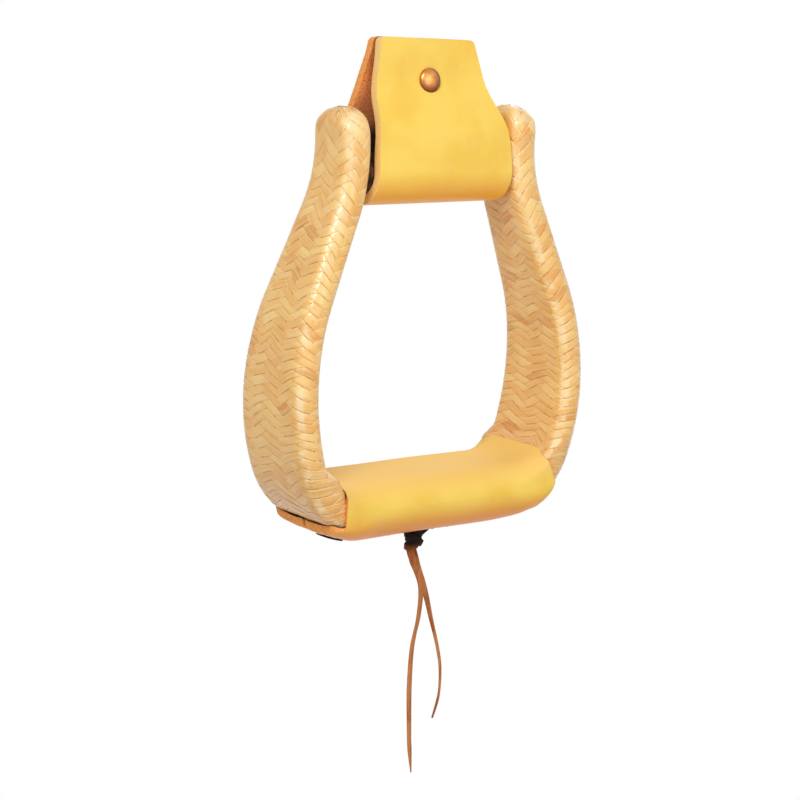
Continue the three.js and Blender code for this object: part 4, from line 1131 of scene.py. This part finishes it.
with bpy.context.temp_override(
    active_object=knot, selected_editable_objects=knot_parts, selected_objects=knot_parts
):
    bpy.ops.object.join()
knot.name = "lace_knot_tied"
pressed = knot.modifiers.new("pressed_together", "REMESH")
pressed.mode = "VOXEL"
pressed.voxel_size = 0.3 * MM
softened = knot.modifiers.new("softened", "SMOOTH")
softened.factor = 0.6
softened.iterations = 3
settle(knot, 60)
knot.data.materials.append(latigo)
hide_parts("lace_knot")
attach(knot, "frame")

# Bolt cover
# A strap of the same skirting leather, folded round the roller with its flesh side in, pinched
# shut above it and held with one rivet. Its sides are cut to a bell shape.
COVER_LEATHER = 4.3
WRAP_RADIUS = 14.2
FLAP_TOP = 60.3
FLAP_TOP_HALF_WIDTH = 27
FLAP_SHOULDER_HEIGHT = 18
FLAP_SHOULDER_INSET = 1.1
FLAP_SIDE_FULL_HEIGHT = 3
FLAP_CORNER = 2.2
FLAP_SPLAY = 1.2  # how far the flaps stand apart at their left edges
# How much each flap is cut in on its left edge, by height: the strap was trimmed by eye.
FRONT_LEFT_TRIM = ((-14.2, 1.8), (-8, 2.2), (6, 3), (17, 3.2), (26, 2.7), (40, 2.4), (52, 1.6), (60, 0.6))
BACK_LEFT_TRIM = (
    (0, 0.8), (10, -0.3), (20, -0.9), (30, -1.5), (36, -2), (42, -1.6), (48, -0.3), (54, 1), (60, 1.2)
)
TOP_SLANT = 0.6  # how far each flap's top is cut higher on the left and lower on the right
BACK_TOP_RISE = 0.5
FLAP_CLOSE_FROM = 14
FLAP_CLOSE_TO = 44
FLAP_MEETING_GAP = 0.4
cover_half = NECK_GAP / 2 - 0.6
closed_half = COVER_LEATHER + FLAP_MEETING_GAP / 2


def bezier(a, b, c, d, count):
    t = np.linspace(0, 1, count)[:, None]
    a, b, c, d = (np.array(p, float) for p in (a, b, c, d))
    return a * (1 - t) ** 3 + 3 * b * t * (1 - t) ** 2 + 3 * c * t**2 * (1 - t) + d * t**3


def strap_line(inset):
    """The strap from its side, front flap's top to back flap's top, as depth and height."""
    wide, closed = WRAP_RADIUS - inset, closed_half - inset
    lift = (FLAP_CLOSE_TO - FLAP_CLOSE_FROM) * 0.42
    top = FLAP_TOP - FLAP_CORNER * (1 - np.cos(np.linspace(0, math.pi / 2, 8)))
    high = np.concatenate([top, np.linspace(top[-1], FLAP_CLOSE_TO, 12)[1:-1]])
    flat = np.stack([np.full(len(high), -closed), high], axis=1)
    curve = bezier(
        (-closed, FLAP_CLOSE_TO), (-closed, FLAP_CLOSE_TO - lift), (-wide, FLAP_CLOSE_FROM + lift),
        (-wide, FLAP_CLOSE_FROM), 26,
    )
    straight = np.stack([np.full(8, -wide), np.linspace(FLAP_CLOSE_FROM, 0, 9)[1:]], axis=1)
    turn = np.linspace(math.pi, 1.5 * math.pi, 20)[1:]
    wrap = wide * circle(turn)
    front = np.vstack([flat, curve, straight, wrap])
    return np.vstack([front, (front * [-1, 1])[::-1][1:]])


def half_width_at(height):
    """Half the strap's width at a height above the roller's axis."""
    shoulder = cover_half - FLAP_SHOULDER_INSET
    slope = (FLAP_TOP_HALF_WIDTH - shoulder) / (FLAP_TOP - FLAP_SHOULDER_HEIGHT)
    t = np.clip((height - FLAP_SIDE_FULL_HEIGHT) / (FLAP_SHOULDER_HEIGHT - FLAP_SIDE_FULL_HEIGHT), 0, 1)
    half = cover_half - FLAP_SHOULDER_INSET * t**2
    half = np.where(height > FLAP_SHOULDER_HEIGHT, shoulder + slope * (height - FLAP_SHOULDER_HEIGHT), half)
    corner = np.clip((height - (FLAP_TOP - FLAP_CORNER)) / FLAP_CORNER, 0, 1)
    return half - FLAP_CORNER * (1 - np.sqrt(1 - corner**2))


def leaning(points):
    """Leans points with the cover, to the back about the roller's axis."""
    points = np.asarray(points, float)
    c, s = math.cos(COVER_LEAN), math.sin(COVER_LEAN)
    return np.stack([points[..., 0], points[..., 1] * c + points[..., 2] * s,
                     points[..., 2] * c - points[..., 1] * s], axis=-1)


def strap_grid(inset):
    line = strap_line(inset)
    shares = np.sin(np.linspace(-1, 1, 61) * math.pi / 2 * 0.94) / math.sin(math.pi / 2 * 0.94)
    depth, height = strap_line(0).T
    half = half_width_at(height)
    trim = np.where(
        depth < 0, np.interp(height, *zip(*FRONT_LEFT_TRIM)), np.interp(height, *zip(*BACK_LEFT_TRIM))
    )
    roll = rise((height + 16) / 16)
    trim = np.where(depth < 0, trim, trim * roll + FRONT_LEFT_TRIM[0][1] * (1 - roll))
    grid = np.zeros((len(line), len(shares), 3))
    grid[..., 0] = half[:, None] * shares + trim[:, None] * np.clip(-shares, 0, 1) ** 2
    splay = FLAP_SPLAY * np.clip(-shares, 0, 1) ** 2 * rise((height - 12) / 30)[:, None]
    grid[..., 1] = line[:, :1] + splay * (depth > 0)[:, None]
    slant = np.where(depth > 0, BACK_TOP_RISE, 0)[:, None] - TOP_SLANT * shares
    grid[..., 2] = line[:, 1:] + slant * np.clip((height - 44) / 16, 0, 1)[:, None]
    return grid


strap_outside, strap_inside = strap_grid(0), strap_grid(COVER_LEATHER)
x, y, z = (strap_outside[..., k] for k in range(3))
waves = 0.3 * np.sin(x / 13 + 0.6) * np.sin(z / 14 + 0.9) + 0.12 * np.sin(x / 5.1 + z / 6.3)
uneven = np.zeros_like(strap_outside)
uneven[..., 1] = waves * np.sign(y) * rise((z + 4) / 14)
bolt_cover = leather_sheet(
    "bolt_cover_leather", leaning(strap_outside + uneven), leaning(strap_inside + uneven)
)
pare(bolt_cover, 0.6, 3, 50)
for finish in (grain_leather, cut_edge, flesh_side):
    bolt_cover.data.materials.append(finish)
settle(bolt_cover, 40)
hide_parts("bolt_cover")
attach(bolt_cover, "folded_cover")

# Rivet
# A solid copper rivet with a domed cap in front, and a second cap hammered on behind.
RIVET_HEIGHT = 41.2
RIVET_CAP_RADIUS = 5.8
RIVET_DOME = 2.9
RIVET_RIM = 0.5
RIVET_PAINTED_HIGHLIGHT = (-1.5, 1.3)  # where the painted highlight sits, from its middle
copper, tree, shader = finish_of("polished_copper", 0.34, metallic=1.0, coat=0.3, coat_roughness=0.2)
tone = blotches(tree, 2.5).spread(0.4, 0.7).blend("#DC9656", "#C98042")
# Painted highlight and shade: the cap keeps its bright tone at a spot up and to the left, and is painted
# darker brown away from it.
out = Signal(node(tree, "ShaderNodeAttribute", attribute_name="out").outputs["Fac"])
surface(shader, out.spread(0.4, 1.15).blend(tone, "#7C3A14"), blotches(tree, 1.2, 3), 0.15, 0.1)

CAP_SIDES = 48
dome = [(RIVET_CAP_RADIUS - 0.25, 0), (RIVET_CAP_RADIUS, 0.15), (RIVET_CAP_RADIUS, RIVET_RIM - 0.1)]
for angle in np.linspace(0.06, 1, 12) * math.pi / 2:
    radius = max(0.15, RIVET_CAP_RADIUS * math.cos(angle))
    dome.append((radius, RIVET_RIM + (RIVET_DOME - RIVET_RIM) * math.sin(angle)))
turn = np.linspace(0, 2 * math.pi, CAP_SIDES, endpoint=False)
cap_points = np.vstack([np.column_stack([r * circle(turn), np.full(CAP_SIDES, h)]) for r, h in dome])
away_from_painted_highlight = np.hypot(*(cap_points[:, :2] - RIVET_PAINTED_HIGHLIGHT).T)
for name, node_name, facing in (
    ("rivet_cap_front", "rivet_cap", -1),
    ("rivet_cap_behind", "rivet_back", 1),
):
    out_of_flap = facing * (closed_half + 0.15 + cap_points[:, 2])
    points = np.stack([facing * -cap_points[:, 0], out_of_flap, RIVET_HEIGHT + cap_points[:, 1]], axis=1)
    cap = mesh_object(name, leaning(points), tube_faces(len(dome), CAP_SIDES))
    cap.data.materials.append(copper)
    # Each point's distance from the painted highlight, in shares of the cap's radius, for the painted shade
    out = cap.data.attributes.new("out", "FLOAT", "POINT")
    out.data.foreach_set("value", away_from_painted_highlight / RIVET_CAP_RADIUS)
    shade(cap.data, CREASE)
    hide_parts(node_name)
    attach(cap, "folded_cover")

# Wood and steel that the covers hide
# The ash bell, its filler block and the roller keep their solids and get ash grain, the first two
# with a clear oil finish. The bolt, washers, nut and nails are plain zinc-plated steel.
ash, tree, shader = finish_of("oiled_ash", 0.5)
rings = blotches(tree, 2.5, 4, (1, 1, 0.08))
surface(shader, rings.spread(0.4, 0.62).blend("#D9B784", "#B58A57"), rings, 0.2, 0.2)

zinc, tree, shader = finish_of("zinc_plated_steel", 0.35, metallic=1.0)
feed(shader, {"Base Color": blotches(tree, 0.8, 2).spread(0.4, 0.6).blend("#B9BCBE", "#9EA3A6")})

# The roller turns on the bolt; its ash is painted near black as painted shade in the gap between the flaps.
ash_painted_dark, tree, shader = finish_of("ash_painted_dark", 0.6, ior=1.35)
rings = blotches(tree, 2.5, 4, (0.08, 1, 1))
feed(shader, {"Base Color": rings.spread(0.4, 0.62).blend("#5A3A20", "#2C190E")})

for finish, names in (
    (ash, ("bentwood_frame", "tread_pad")),
    (ash_painted_dark, ("neck_roller",)),
    (zinc, ("neck_bolt", "head_washer", "nut_washer", "bolt_nut", "pad_nail_left", "pad_nail_right")),
):
    for name in names:
        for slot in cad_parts[name].material_slots:
            slot.material = finish
